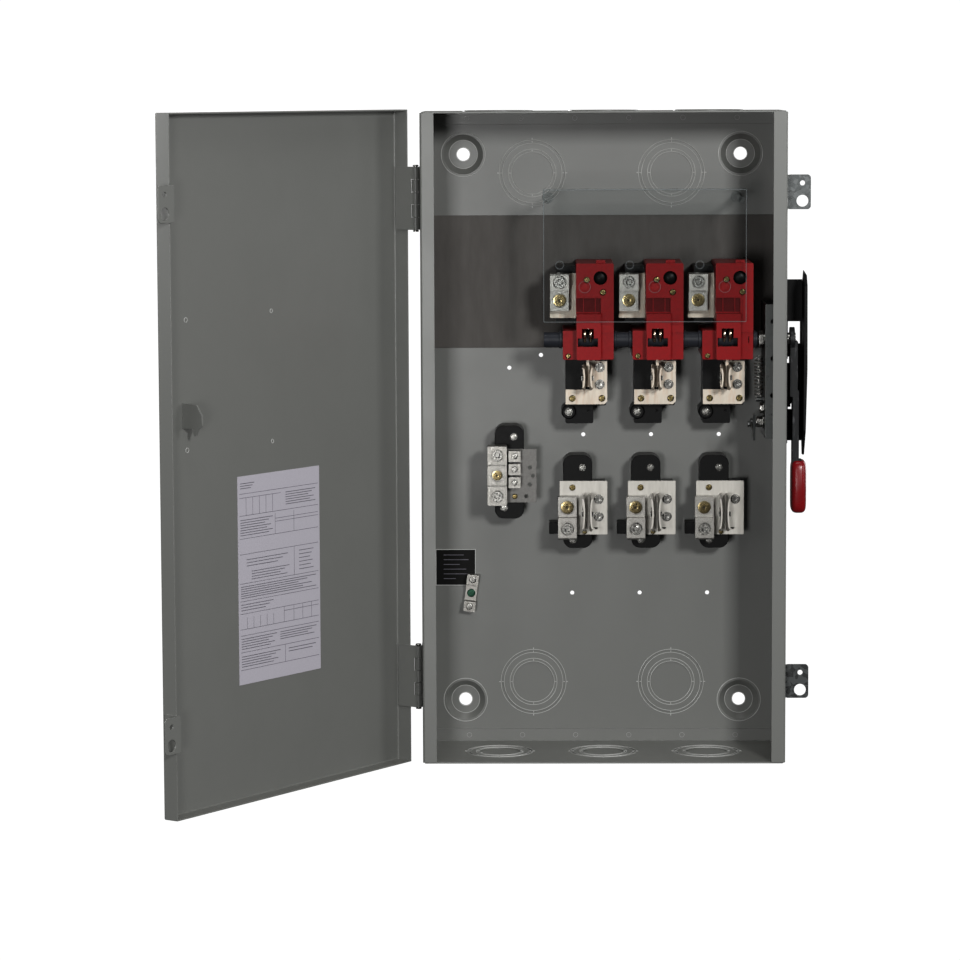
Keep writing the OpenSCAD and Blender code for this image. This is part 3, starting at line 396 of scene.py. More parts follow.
def solids(node: Piece) -> list[Extent]:
    """Boxes of a CAD node's separate solids."""
    form = merged(node)
    waiting = set(form.verts)
    found = []
    while waiting:
        group, edge = [], [waiting.pop()]
        while edge:
            vert = edge.pop()
            group.append(vert.co.copy())
            near = {link.other_vert(vert) for link in vert.link_edges} & waiting
            waiting -= near
            edge.extend(near)
        found.append(Extent.of(group))
    form.free()
    return found


class Form:
    """A mesh under construction, in millimetres, each of its solids with a finish."""

    def __init__(self) -> None:
        """Starts an empty mesh."""
        self.mesh = bmesh.new()
        self.surfaces: list[Surface] = []
        self.index = 0

    def use(self, surface: Surface) -> "Form":
        """Makes the next solids in this finish."""
        if surface not in self.surfaces:
            self.surfaces.append(surface)
        self.index = self.surfaces.index(surface)
        return self

    def skin(self, rings: Sequence[Sequence[Vector]], closed: bool = False, caps: bool = True) -> None:
        """Joins rings of equally many points into a solid."""
        loops = [[self.mesh.verts.new(p) for p in ring] for ring in rings]
        count = len(loops[0])
        faces = []
        pairs = list(zip(loops, loops[1:])) + ([(loops[-1], loops[0])] if closed else [])
        for near, far in pairs:
            faces += [self.mesh.faces.new((near[i], near[(i + 1) % count], far[(i + 1) % count], far[i]))
                      for i in range(count)]
        if caps and not closed:
            faces += [self.mesh.faces.new(loops[0][::-1]), self.mesh.faces.new(loops[-1])]
        self._paint(faces)

    def _paint(self, faces: Iterable[bmesh.types.BMFace]) -> None:
        """Gives new faces the finish in use."""
        for face in faces:
            face.material_index = self.index
            face.smooth = True

    def box(self, low: Point, high: Point, place: Optional[Matrix] = None) -> None:
        """Adds a block between two corners."""
        size = Vector(high) - Vector(low)
        middle = Matrix.Translation(Vector(low) + size / 2) @ Matrix.Diagonal((*size, 1.0))
        cube = bmesh.ops.create_cube(self.mesh, size=1.0, matrix=place @ middle if place else middle)
        self._paint(face for vert in cube["verts"] for face in vert.link_faces)

    @staticmethod
    def _joined(start: bmesh.types.BMVert) -> list[bmesh.types.BMFace]:
        """Faces of the solid that a vertex belongs to."""
        found = dict.fromkeys([start])
        waiting = [start]
        while waiting:
            vert = waiting.pop()
            fresh = [link.other_vert(vert) for link in vert.link_edges if link.other_vert(vert) not in found]
            found.update(dict.fromkeys(fresh))
            waiting += fresh
        return list(dict.fromkeys(face for vert in found for face in vert.link_faces))

    def _spin(self, place: Matrix, verts: list[bmesh.types.BMVert], steps: int) -> None:
        """Turns a section once around local Z, closes its open ends and paints it."""
        edges = list(dict.fromkeys(edge for vert in verts for edge in vert.link_edges))
        bmesh.ops.spin(self.mesh, geom=verts + edges, cent=place.translation,
                       axis=place.to_3x3() @ Vector((0, 0, 1)), angle=math.tau, steps=steps, use_merge=True)
        rims = dict.fromkeys(edge for face in self._joined(verts[0]) for edge in face.edges if edge.is_boundary)
        bmesh.ops.holes_fill(self.mesh, edges=list(rims), sides=0)
        self._paint(self._joined(verts[0]))

    def lathe(self, place: Matrix, profile: Sequence[tuple[float, float]], steps: int = 32) -> None:
        """Adds a turned solid: profile is (radius, height) pairs from one end to the other."""
        verts = [self.mesh.verts.new(place @ Vector((r, 0, h))) for r, h in profile]
        for pair in zip(verts, verts[1:]):
            self.mesh.edges.new(pair)
        self._spin(place, verts, steps)

    def ring(self, place: Matrix, radius: float, wire: float, steps: int = 48, height: float = 0.0) -> None:
        """Adds a round bead of wire section."""
        section = place @ Matrix.Translation((radius, 0, height)) @ Matrix.Rotation(math.pi / 2, 4, "X")
        verts = bmesh.ops.create_circle(self.mesh, radius=wire, segments=8, matrix=section)["verts"]
        self._spin(place, verts, steps)

    def tube(self, path: Sequence[Vector], radius: float, sides: int = 8) -> None:
        """Adds a round wire along a path."""
        rings = []
        side = (path[1] - path[0]).orthogonal().normalized()
        for i, point in enumerate(path):
            along = (path[min(i + 1, len(path) - 1)] - path[max(i - 1, 0)]).normalized()
            side = (side - along * side.dot(along)).normalized()
            up = along.cross(side)
            rings.append([point + radius * (math.cos(a) * side + math.sin(a) * up)
                          for a in (math.tau * k / sides for k in range(sides))])
        self.skin(rings)

    def leaf(self, rows: int, columns: int, face: Callable[[float, float], Vector],
             back: Callable[[float, float], Vector]) -> None:
        """Adds a bent strip between two surfaces, each given as a function of u and v from 0 to 1."""
        rings = []
        for i in range(rows + 1):
            u = i / rows
            there = [face(u, k / columns) for k in range(columns + 1)]
            rings.append(there + [back(u, k / columns) for k in range(columns, -1, -1)])
        self.skin(rings)

    def socket_head(self, place: Matrix, radius: float, height: float, depth: float = 1.8) -> None:
        """Adds a round screw head with a six-sided driving socket."""
        steps, key = 24, radius * 0.44
        circle = arc(1.0, 0, 360 - 360 / steps, steps - 1)
        flat = [key * math.cos(math.pi / 6) / math.cos((math.atan2(p.y, p.x)) % (math.pi / 3) - math.pi / 6)
                for p in circle]
        levels = [(radius, 0.0), (radius, height * 0.7), (radius * 0.95, height), (radius * 0.84, height),
                  (radius * 0.82, height - 1.1), (radius * 0.7, height - 1.1), (radius * 0.68, height),
                  (radius * 0.56, height), (radius * 0.5, height - 0.3)]
        rings = [[place @ Vector((p.x * r, p.y * r, h)) for p in circle] for r, h in levels]
        rings += [[place @ Vector((p.x * f, p.y * f, h)) for p, f in zip(circle, flat)]
                  for h in (height - 0.1, height - depth)]
        self.skin(rings)

    def slotted_head(self, place: Matrix, radius: float, height: float, slot: float = 0.26) -> None:
        """Adds a round head made of two half domes with the driving slot between them."""
        root = height * 0.45
        half = radius * slot / 2
        lean = math.degrees(math.asin(half / radius))
        self.lathe(place, [(radius * 0.96, 0.0), (radius, root * 0.4), (radius, root)], 28)
        for flip in (0.0, math.pi):
            outline = arc(radius, lean, 180 - lean, 12)
            turned = place @ Matrix.Rotation(flip, 4, "Z")
            levels = []
            for level, keep in ((root - 0.02, 1.0), (height * 0.72, 0.97), (height * 0.92, 0.86), (height, 0.7)):
                levels.append([turned @ Vector((p.x * keep, max(half, p.y * keep), level)) for p in outline])
            self.skin(levels)

    def hex_head(self, place: Matrix, radius: float, height: float, washer: float, cone: float = 0.95) -> None:
        """Adds a hexagon head on its washer, with the chamfer and dimple of a pressed head.

        Args:
            place: where it sits, with local Z along its axis.
            radius: centre to corner of the hexagon.
            height: washer and head together.
            washer: radius of the washer.
            cone: radius of the washer's upper rim as a share of its lower one.
        """
        rim = height * 0.22
        self.lathe(place, [(washer * 0.98, 0.0), (washer, rim * 0.3), (washer, rim * 0.8), (washer * cone, rim)], 32)
        points = []
        for p in arc(1.0, 0, 345, 23):
            turn = math.atan2(p.y, p.x) % (math.pi / 3) - math.pi / 6
            points.append((p, math.cos(math.pi / 6) / math.cos(turn)))
        rings = [[place @ Vector((p.x * f * radius, p.y * f * radius, h)) for p, f in points]
                 for h in (rim, height * 0.86)]
        rings += [[place @ Vector((p.x * r * radius, p.y * r * radius, h)) for p, _ in points]
                  for r, h in ((0.84, height), (0.55, height), (0.48, height * 0.9), (0.1, height * 0.88))]
        self.skin(rings)


@dataclass
class Workshop:
    """Keeps the materials and the frame, and puts pieces on their bodies."""

    frame: dict
    made: dict[str, Material] = field(default_factory=dict)

    def __post_init__(self) -> None:
        """Reads each node's slot and body from the record."""
        record = self.frame["record"]
        self.slots = {part["node"]: part["material_slot"] for part in record["subparts"]}
        self.bodies = {node: body for body, nodes in record["behaviour"]["bodies"].items() for node in nodes}

    def node(self, name: str) -> Piece:
        """A CAD node's object."""
        return self.frame["nodes"][name]

    def extent(self, name: str) -> Extent:
        """A CAD node's box at rest."""
        low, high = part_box(name)
        return Extent(Vector(low) / MM, Vector(high) / MM)

    def opened_door(self) -> Matrix:
        """Turn of the door from shut to where it stands at rest."""
        joint = next(j for j in self.frame["joints"] if j["name"] == "door_hinge")
        hinge = Vector(joint["pos_m"]) / MM
        return (Matrix.Translation(hinge) @ Matrix.Rotation(math.radians(-max(joint["range_deg"])), 4, "Z")
                @ Matrix.Translation(-hinge))

    def shut_box(self, name: str) -> Extent:
        """Box of one of the door's CAD nodes as it would be with the door shut."""
        back = self.opened_door().inverted()
        return Extent.of([(back @ (v.co / MM)) * MM for v in self.node(name).data.vertices])

    def material(self, surface: Surface) -> Material:
        """Returns the material of a finish, made once."""
        if surface.name not in self.made:
            self.made[surface.name] = surface.value.build()
        return self.made[surface.name]

    def _place(self, name: str, form: bmesh.types.BMesh, surfaces: Sequence[Surface], like: str,
               smooth_deg: float) -> Piece:
        """Turns a finished form into a piece that rides with a CAD node's body."""
        bmesh.ops.recalc_face_normals(form, faces=form.faces)
        mesh = bpy.data.meshes.new(name)
        form.to_mesh(mesh)
        form.free()
        for surface in surfaces:
            mesh.materials.append(self.material(surface))
        mesh.set_sharp_from_angle(angle=math.radians(smooth_deg))
        piece = bpy.data.objects.new(name, mesh)
        bpy.context.scene.collection.objects.link(piece)
        even = piece.modifiers.new("flat_faces_stay_flat", "WEIGHTED_NORMAL")
        even.keep_sharp = True
        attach(piece, self.bodies[like])
        return piece

    def add(self, name: str, form: Form, like: str, replaces: Sequence[str] = (), smooth_deg: float = 38) -> Piece:
        """Adds a modelled piece that rides with a CAD node's body.

        Args:
            name: the piece's name.
            form: what was modelled.
            like: the CAD node whose body it rides with.
            replaces: the CAD nodes that it stands for.
            smooth_deg: edges sharper than this stay crisp.

        Returns:
            The piece.
        """
        bmesh.ops.scale(form.mesh, vec=(MM, MM, MM), verts=form.mesh.verts)
        piece = self._place(name, form.mesh, form.surfaces, like, smooth_deg)
        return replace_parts(piece, *replaces) if replaces else piece

    def dress(self, name: str, surface: Surface, edge_mm: float) -> Piece:
        """Stands a copy of a CAD node in its place, with its sharp edges rounded off.

        Args:
            name: the CAD node.
            surface: its finish.
            edge_mm: how far the rounding reaches from an edge, or 0 for none.

        Returns:
            The piece.
        """
        form = merged(self.node(name))
        bmesh.ops.dissolve_limit(form, angle_limit=math.radians(0.6), verts=form.verts, edges=form.edges)
        if edge_mm:
            sharp = [e for e in form.edges if e.is_manifold and e.calc_face_angle(0.0) > math.radians(32)
                     and e.calc_length() > 0.4 * edge_mm * MM]
            bmesh.ops.bevel(form, geom=sharp, offset=edge_mm * MM, offset_type="OFFSET", segments=2, profile=0.5,
                            affect="EDGES", clamp_overlap=True, material=-1)
        for face in form.faces:
            face.smooth = True
            face.material_index = 0
        piece = self._place(f"{name}_body", form, [surface], name, 38)
        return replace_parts(piece, name)


# ---------------------------------------------------------------- sub-assemblies


@dataclass(frozen=True)
class Coat:
    """One finish, the edge rounding that goes with it, and the CAD nodes that wear it."""

    surface: Surface
    edge_mm: float
    names: tuple[str, ...]


def numbered(*stems: str) -> tuple[str, ...]:
    """Names of the nodes that every pole has one of."""
    return tuple(f"{stem}_{n}" for stem in stems for n in POLES)


COATS = (
    Coat(Surface.ENAMEL, 0.35, ("box_wrap", "top_wall", "bottom_wall", "box_hinge_leaves", "door_pan",
                                "door_hinge_leaves", "latch_tabs", "interlock_hook")),
    Coat(Surface.GALVANISED, 0.35, ("hasp_tabs",)),
    Coat(Surface.ZINC, 0.3, ("hinge_pins", "handle_shaft")),
    Coat(Surface.FIBRE, 0.2, ("insulating_liner",)),
    Coat(Surface.CLEAR, 0.3, ("line_shield",)),
    Coat(Surface.CLEAR_POST, 0.3, ("shield_posts",)),
    Coat(Surface.PHENOLIC, 0.6, ("neutral_base", "line_terminal_blocks",
                                 *numbered("upper_fuse_base", "lower_fuse_base"))),
    Coat(Surface.TIN, 0.3, ("line_contacts", "fuse_plates")),
    Coat(Surface.DULL_TIN, 0.3, ("load_plates",)),
    Coat(Surface.GREY_TIN, 0.3, ("neutral_plate",)),
    Coat(Surface.LUG, 0.5, ("neutral_large_lugs", "neutral_small_lugs", "ground_lug",
                            *numbered("line_lug", "load_lug"))),
    Coat(Surface.SLATE, 0.4, ("rotor_shaft",)),
    Coat(Surface.COPPER, 0.5, ("switch_blades",)),
    Coat(Surface.DARK_STEEL, 0.35, ("mechanism_plate", "interlock_latch")),
    Coat(Surface.RED, 0.5, numbered("pole_base", "arc_cover")),
    Coat(Surface.POWDER, 0.45, ("handle_bracket",)),
    Coat(Surface.LEVER, 0.8, ("handle_lever",)),
)


@dataclass
class Fasteners:
    """Screws and bolts, each modelled where its CAD solid stands."""

    shop: Workshop

    def build(self) -> None:
        """Adds all three kinds."""
        self._terminal_screws()
        self._set_screws()
        self._bolts()

    def _terminal_screws(self) -> None:
        """Brass plate screws, zinc base screws, lug bolts and the green ground screw."""
        form = Form()
        ground = self.shop.extent("ground_lug")
        for number, solid in enumerate(solids(self.shop.node("terminal_screws"))):
            radius, height = solid.size.x / 2, solid.size.y
            place = on_wall(solid.centre.x, solid.high.y, solid.centre.z, 37 * number % 180)
            if radius > 5.2:
                form.use(Surface.BRASS).hex_head(place, radius * 0.62, height, radius, 0.7)
                # Near-black disc in the head's dimple: painted shade
                form.use(Surface.DARK).lathe(place @ Matrix.Translation((0, 0, height * 0.9)),
                                             [(radius * 0.17, 0.0), (radius * 0.17, height * 0.02)], 6)
            elif ground.low.x < solid.centre.x < ground.high.x:
                form.use(Surface.GREEN).slotted_head(place, radius, height)
            elif radius > 3.8:
                form.use(Surface.ZINC).lathe(place, [(radius, 0.0), (radius, 0.5), (radius * 0.95, 0.7)])
                form.slotted_head(place @ Matrix.Translation((0, 0, 0.6)), radius * 0.84, height - 0.6, 0.22)
            else:
                form.use(Surface.YELLOW_ZINC).slotted_head(place, radius, height)
        self.shop.add("terminal_screw_set", form, "terminal_screws", ["terminal_screws"])

    def _set_screws(self) -> None:
        """Hexagon-socket wire screws and the small slotted ones."""
        form = Form().use(Surface.ZINC)
        for number, solid in enumerate(solids(self.shop.node("lug_screws"))):
            radius, height = solid.size.x / 2, solid.size.y
            place = on_wall(solid.centre.x, solid.high.y, solid.centre.z, 53 * number % 180)
            if radius > 5:
                form.socket_head(place, radius, height)
            else:
                form.slotted_head(place, radius, height)
        self.shop.add("wire_screw_set", form, "lug_screws", ["lug_screws"])

    def _bolts(self) -> None:
        """Hexagon bolts of the clips and of the mechanism plate."""
        form = Form().use(Surface.ZINC)
        for solid in solids(self.shop.node("hex_bolts")):
            sideways = solid.size.y > 1.3 * solid.size.x or solid.low.x > self.shop.extent("line_shield").high.x
            if sideways:
                washer, height = solid.size.y / 2, solid.size.x
                place = facing_left(solid.high.x, solid.centre.y, solid.centre.z)
            else:
                washer, height = solid.size.x / 2, solid.size.y
                place = on_wall(solid.centre.x, solid.high.y, solid.centre.z, solid.centre.x % 60)
            form.hex_head(place, washer / 1.2, height, washer)
        self.shop.add("hexagon_bolt_set", form, "hex_bolts", ["hex_bolts"])


@dataclass
class FuseClips:
    """Spring clips: two leaves whose lips flare at both ends, pinched by a steel band."""

    shop: Workshop
    leaf_t: float = 1.7
    foot_t: float = 1.8
    slot: float = 4.8
    flare: float = 2.1
    band_w: float = 7.0
    band_t: float = 0.9

    def build(self) -> None:
        """Adds every clip."""
        for stem, finish in (("upper_fuse_clip", Surface.TIN), ("lower_fuse_clip", Surface.DULL_TIN)):
            for number in POLES:
                name = f"{stem}_{number}"
                self._clip(name, finish)

    def _clip(self, name: str, finish: Surface) -> None:
        """Adds one clip in the box of its CAD node."""
        box = self.shop.extent(name)
        rise = box.size.y
        centre = box.low.x + self.slot / 2 + 4.0
        form = Form().use(finish)
        form.box((box.low.x + 1.2, box.high.y - self.foot_t, box.low.z + 2), (box.high.x, box.high.y, box.high.z - 2))
        for side in (-1, 1):
            def gap(u: float, v: float) -> float:
                """Half the slot at height u and length v: straight at the foot, flared at the lips' ends."""
                lip = max(0.0, (u - 0.55) / 0.45)
                return self.slot / 2 + self.flare * lip ** 2 * (0.15 + 0.85 * (2 * v - 1) ** 2) - 0.5 * lip * (1 - lip)

            def at(u: float, v: float, out: float, side: int = side) -> Vector:
                """Point of the leaf, out from its inner face."""
                inset = 3.5 * max(0.0, u - 0.8) / 0.2 * (abs(2 * v - 1) ** 3)
                z = box.low.z + box.size.z * v + inset * (1 - 2 * v)
                return Vector((centre + side * (gap(u, v) + out), box.high.y - rise * u, z))

            form.use(finish).leaf(14, 16, lambda u, v: at(u, v, 0.0), lambda u, v: at(u, v, self.leaf_t))
            self._band(form, box, centre, side, gap)
        self.shop.add(f"{name}_leaves", form, name, [name])

    def _band(self, form: Form, box: Extent, centre: float, side: int, gap: Callable[[float, float], float]) -> None:
        """Adds one arm of the steel band that presses a leaf inwards."""
        middle, tip = box.centre.z - 0.5, 0.93

        def at(u: float, v: float, out: float) -> Vector:
            """Point of the arm: it hugs the leaf and curls away at its tip."""
            curl = 1.4 * max(0.0, (u - 0.85) / 0.15) ** 2
            width = self.band_w * (1.25 - 0.5 * u)
            x = gap(u * tip, 0.5) + self.leaf_t + 0.1 + out + curl
            return Vector((centre + side * x, box.high.y - box.size.y * u * tip, middle + width * (v - 0.5)))

        form.use(Surface.ZINC).leaf(12, 3, lambda u, v: at(u, v, 0.0), lambda u, v: at(u, v, self.band_t))


@dataclass
class Mechanism:
    """Toggle spring and the small hardware of the drive."""

    shop: Workshop
    turns: int = 11
    wire: float = 0.7

    def build(self) -> None:
        """Adds the spring, and the washers and pin on the drive shaft."""
        self._spring()
        self._shaft_hardware()

    def _spring(self) -> None:
        """Close helix with a hook at each end."""
        box = self.shop.extent("mechanism_spring")
        centre = box.centre
        radius = box.size.x / 2 - self.wire
        low, high = box.low.z + self.wire, box.high.z - self.wire
        steps = self.turns * 20
        path = [Vector((centre.x + radius * math.cos(math.tau * self.turns * i / steps),
                        centre.y + radius * math.sin(math.tau * self.turns * i / steps),
                        low + (high - low) * i / steps)) for i in range(steps + 1)]
        form = Form().use(Surface.ZINC)
        form.tube(path, self.wire)
        for z, way in ((low, -1), (high, 1)):
            loop = [Vector((centre.x + radius * 0.55 * math.cos(a), centre.y, z + way * radius * 0.55 * math.sin(a)))
                    for a in (math.pi * k / 12 for k in range(13))]
            form.tube(loop, self.wire * 0.95)
        self.shop.add("toggle_spring_coil", form, "mechanism_spring", ["mechanism_spring"], 60)

    def _shaft_hardware(self) -> None:
        """Washers beside the shaft's nut and a split pin through the shaft's end."""
        shaft = self.shop.extent("handle_shaft")
        plate = self.shop.extent("mechanism_plate")
        form = Form().use(Surface.ZINC)
        seat = Matrix.Translation((plate.low.x, shaft.centre.y, shaft.centre.z)) @ Matrix.Rotation(-math.pi / 2, 4, "Y")
        form.lathe(seat, [(10.6, 0.05), (11.0, 0.4), (10.6, 1.1), (8.8, 1.2)])
        end = Vector((shaft.high.x - 1.6, shaft.centre.y, shaft.centre.z))
        form.tube([end + Vector((0, 0, -9.5)), end, end + Vector((0, 0, 9.5))], 1.1)
        self.shop.add("drive_shaft_hardware", form, "handle_shaft")


@dataclass
class Grip:
    """Moulded grip: a crowned oblong with a faint parting line and finger swell."""

    shop: Workshop
    around: int = 40
    along: int = 36

    def build(self) -> None:
        """Adds the grip."""
        box = self.shop.extent("handle_grip")
        centre, half = box.centre, box.size / 2
        form = Form().use(Surface.VINYL)
        rings = []
        for k in range(self.along + 1):
            t = -math.cos(math.pi * k / self.along)
            shrink = max(0.0, 1 - abs(t) ** 9) ** (1 / 2.6)
            swell = 0.95 + 0.05 * math.cos(math.pi * t)
            ring = []
            for i in range(self.around):
                a = math.tau * i / self.around
                c, s = math.cos(a), math.sin(a)
                ridge = 0.22 if abs(s) < 0.08 else 0.0
                x = half.x * (0.25 + 0.75 * shrink) * math.copysign(abs(c) ** 0.55, c) - math.copysign(ridge, c)
                y = half.y * (0.35 + 0.65 * shrink) * swell * math.copysign(abs(s) ** 0.6, s)
                ring.append(Vector((centre.x + x, centre.y + y, centre.z + half.z * t)))
            rings.append(ring)
        form.skin(rings)
        # Near-black patch on the grip's top, where the lever goes in: painted shade
        form.use(Surface.DARK).box((centre.x - 4.4, centre.y - 10.4, box.high.z - 0.9),
                                   (centre.x + 3.4, centre.y + 10.4, box.high.z + 0.02))
        self.shop.add("grip_moulding", form, "handle_grip", ["handle_grip"], 60)


@dataclass
class Shield:
    """Edge beads of the clear line shield, and the raised rims of its probe holes, in pale clear: a painted highlight.
    """

    shop: Workshop
    bead: float = 0.45
    rim_r: float = 4.2
    ring_r: float = 6.2

    def build(self) -> None:
        """Adds the beads."""
        box = self.shop.extent("line_shield")
        face = box.low.y + 0.1
        # Pale beads: a painted highlight along the shield's edges and round its probe holes
        form = Form().use(Surface.CLEAR_HIGHLIGHT)
        corners = [Vector((box.low.x + 1, face, box.low.z + 0.6)), Vector((box.high.x - 1, face, box.low.z + 0.6)),
                   Vector((box.high.x - 1, face, box.high.z - 0.6)), Vector((box.low.x + 1, face, box.high.z - 0.6))]
        for a, b in zip(corners, corners[1:] + corners[:1]):
            form.tube([a, (a + b) / 2, b], self.bead)
        for number in POLES:
            cover = self.shop.extent(f"arc_cover_{number}")
            lug = self.shop.extent(f"line_lug_{number}")
            form.ring(on_wall(lug.centre.x, face, lug.high.z + 11), self.rim_r, 0.32)
            form.ring(on_wall(cover.centre.x - 4, face, lug.centre.z + 8), self.ring_r, 0.24)
        self.shop.add("shield_beads", form, "line_shield")


@dataclass
class Labels:
    """Blank black service label with its border, and the ruled paper label on the door."""

    shop: Workshop
    ink_t: float = 0.06

    def build(self) -> None:
        """Adds both labels."""
        self._service()
        self._door()

    def _frame(self, form: Form, low: Point, high: Point, width: float, y: float, place: Optional[Matrix]) -> None:
        """Adds a rectangular border of ink in the XZ plane."""
        (x0, z0), (x1, z1) = low, high
        for a, b in (((x0, z0), (x1, z0 + width)), ((x0, z1 - width), (x1, z1)),
                     ((x0, z0 + width), (x0 + width, z1 - width)), ((x1 - width, z0 + width), (x1, z1 - width))):
            form.box((a[0], y, a[1]), (b[0], y + self.ink_t, b[1]), place)

    def _service(self) -> None:
        """Black film with a pale border and six grey bars."""
        box = self.shop.extent("service_label")
        form = Form().use(Surface.BLACK_FILM)
        form.box(box.low, box.high)
        y = box.low.y - self.ink_t
        form.use(Surface.PALE_INK)
        self._frame(form, (box.low.x, box.low.z), (box.high.x, box.high.z), 0.7, y, None)
        form.use(Surface.GREY_INK)
        left = box.low.x + 0.2 * box.size.x
        for k, share in enumerate((0.5, 0.62, 0.4, 0.56, 0.62, 0.3)):
            z = box.high.z - (0.16 + 0.13 * k) * box.size.z
            form.box((left, y, z - 0.4), (left + share * box.size.x, y + self.ink_t, z + 0.4))
        self.shop.add("service_label_print", form, "service_label", ["service_label"])

    def _door(self) -> None:
        """Paper with plain rules, tables of empty boxes and grey bars, set square on the open door."""
        opened = self.shop.opened_door()
        box = self.shop.shut_box("door_label")
        form = Form().use(Surface.PAPER)
        form.box(box.low, box.high, opened)
        y = box.high.y
        (x0, _, z0), (x1, _, z1) = box.low, box.high
        width, height = x1 - x0, z1 - z0
        form.use(Surface.GREY_INK)

        def rule(u0: float, u1: float, v: float, thick: float = 0.5) -> None:
            """Level line from u0 to u1 of the width, from the free edge, v down from the top."""
            z = z1 - v * height
            form.box((x1 - u1 * width, y, z - thick / 2), (x1 - u0 * width, y + self.ink_t, z + thick / 2), opened)

        def post(u: float, v0: float, v1: float, thick: float = 0.45) -> None:
            """Upright line at u, from v0 down to v1."""
            x = x1 - u * width
            form.box((x - thick / 2, y, z1 - v1 * height), (x + thick / 2, y + self.ink_t, z1 - v0 * height), opened)

        def bars(u0: float, u1: float, v0: float, v1: float, count: int) -> None:
            """Block of fine grey bars of uneven length."""
            for k in range(count):
                short = 0.06 * ((k * 7) % 5) * (u1 - u0)
                rule(u0, u1 - short, v0 + (v1 - v0) * (k + 0.5) / count, 0.75)

        for v in (0.085, 0.19, 0.3, 0.375, 0.515, 0.6, 0.66, 0.735, 0.765, 0.845, 0.93):
            rule(0.02, 0.98, v)
        for u in (0.1, 0.18, 0.26, 0.34, 0.42):
            post(u, 0.105, 0.19)
            post(u, 0.68, 0.735)
        for u in (0.45, 0.68):
            post(u, 0.2, 0.3)
        for u in (0.55, 0.67, 0.78, 0.89):
            post(u, 0.66, 0.735)
        post(0.68, 0.375, 0.515)
        post(0.56, 0.845, 0.93)
        rule(0.02, 0.52, 0.105)
        rule(0.45, 0.98, 0.225)
        rule(0.45, 0.98, 0.24)
        rule(0.55, 0.98, 0.68)
        for block in ((0.03, 0.2, 0.03, 0.065, 3), (0.58, 0.95, 0.1, 0.17, 6), (0.03, 0.42, 0.205, 0.29, 7),
                      (0.1, 0.6, 0.395, 0.44, 3), (0.16, 0.62, 0.455, 0.505, 4), (0.74, 0.92, 0.39, 0.5, 6),
                      (0.03, 0.95, 0.525, 0.59, 6), (0.03, 0.42, 0.61, 0.65, 3), (0.03, 0.46, 0.775, 0.835, 5),
                      (0.5, 0.95, 0.775, 0.82, 4), (0.03, 0.5, 0.86, 0.92, 5), (0.6, 0.94, 0.86, 0.89, 2)):
            bars(*block)
        self.shop.add("door_label_print", form, "door_label", ["door_label"])


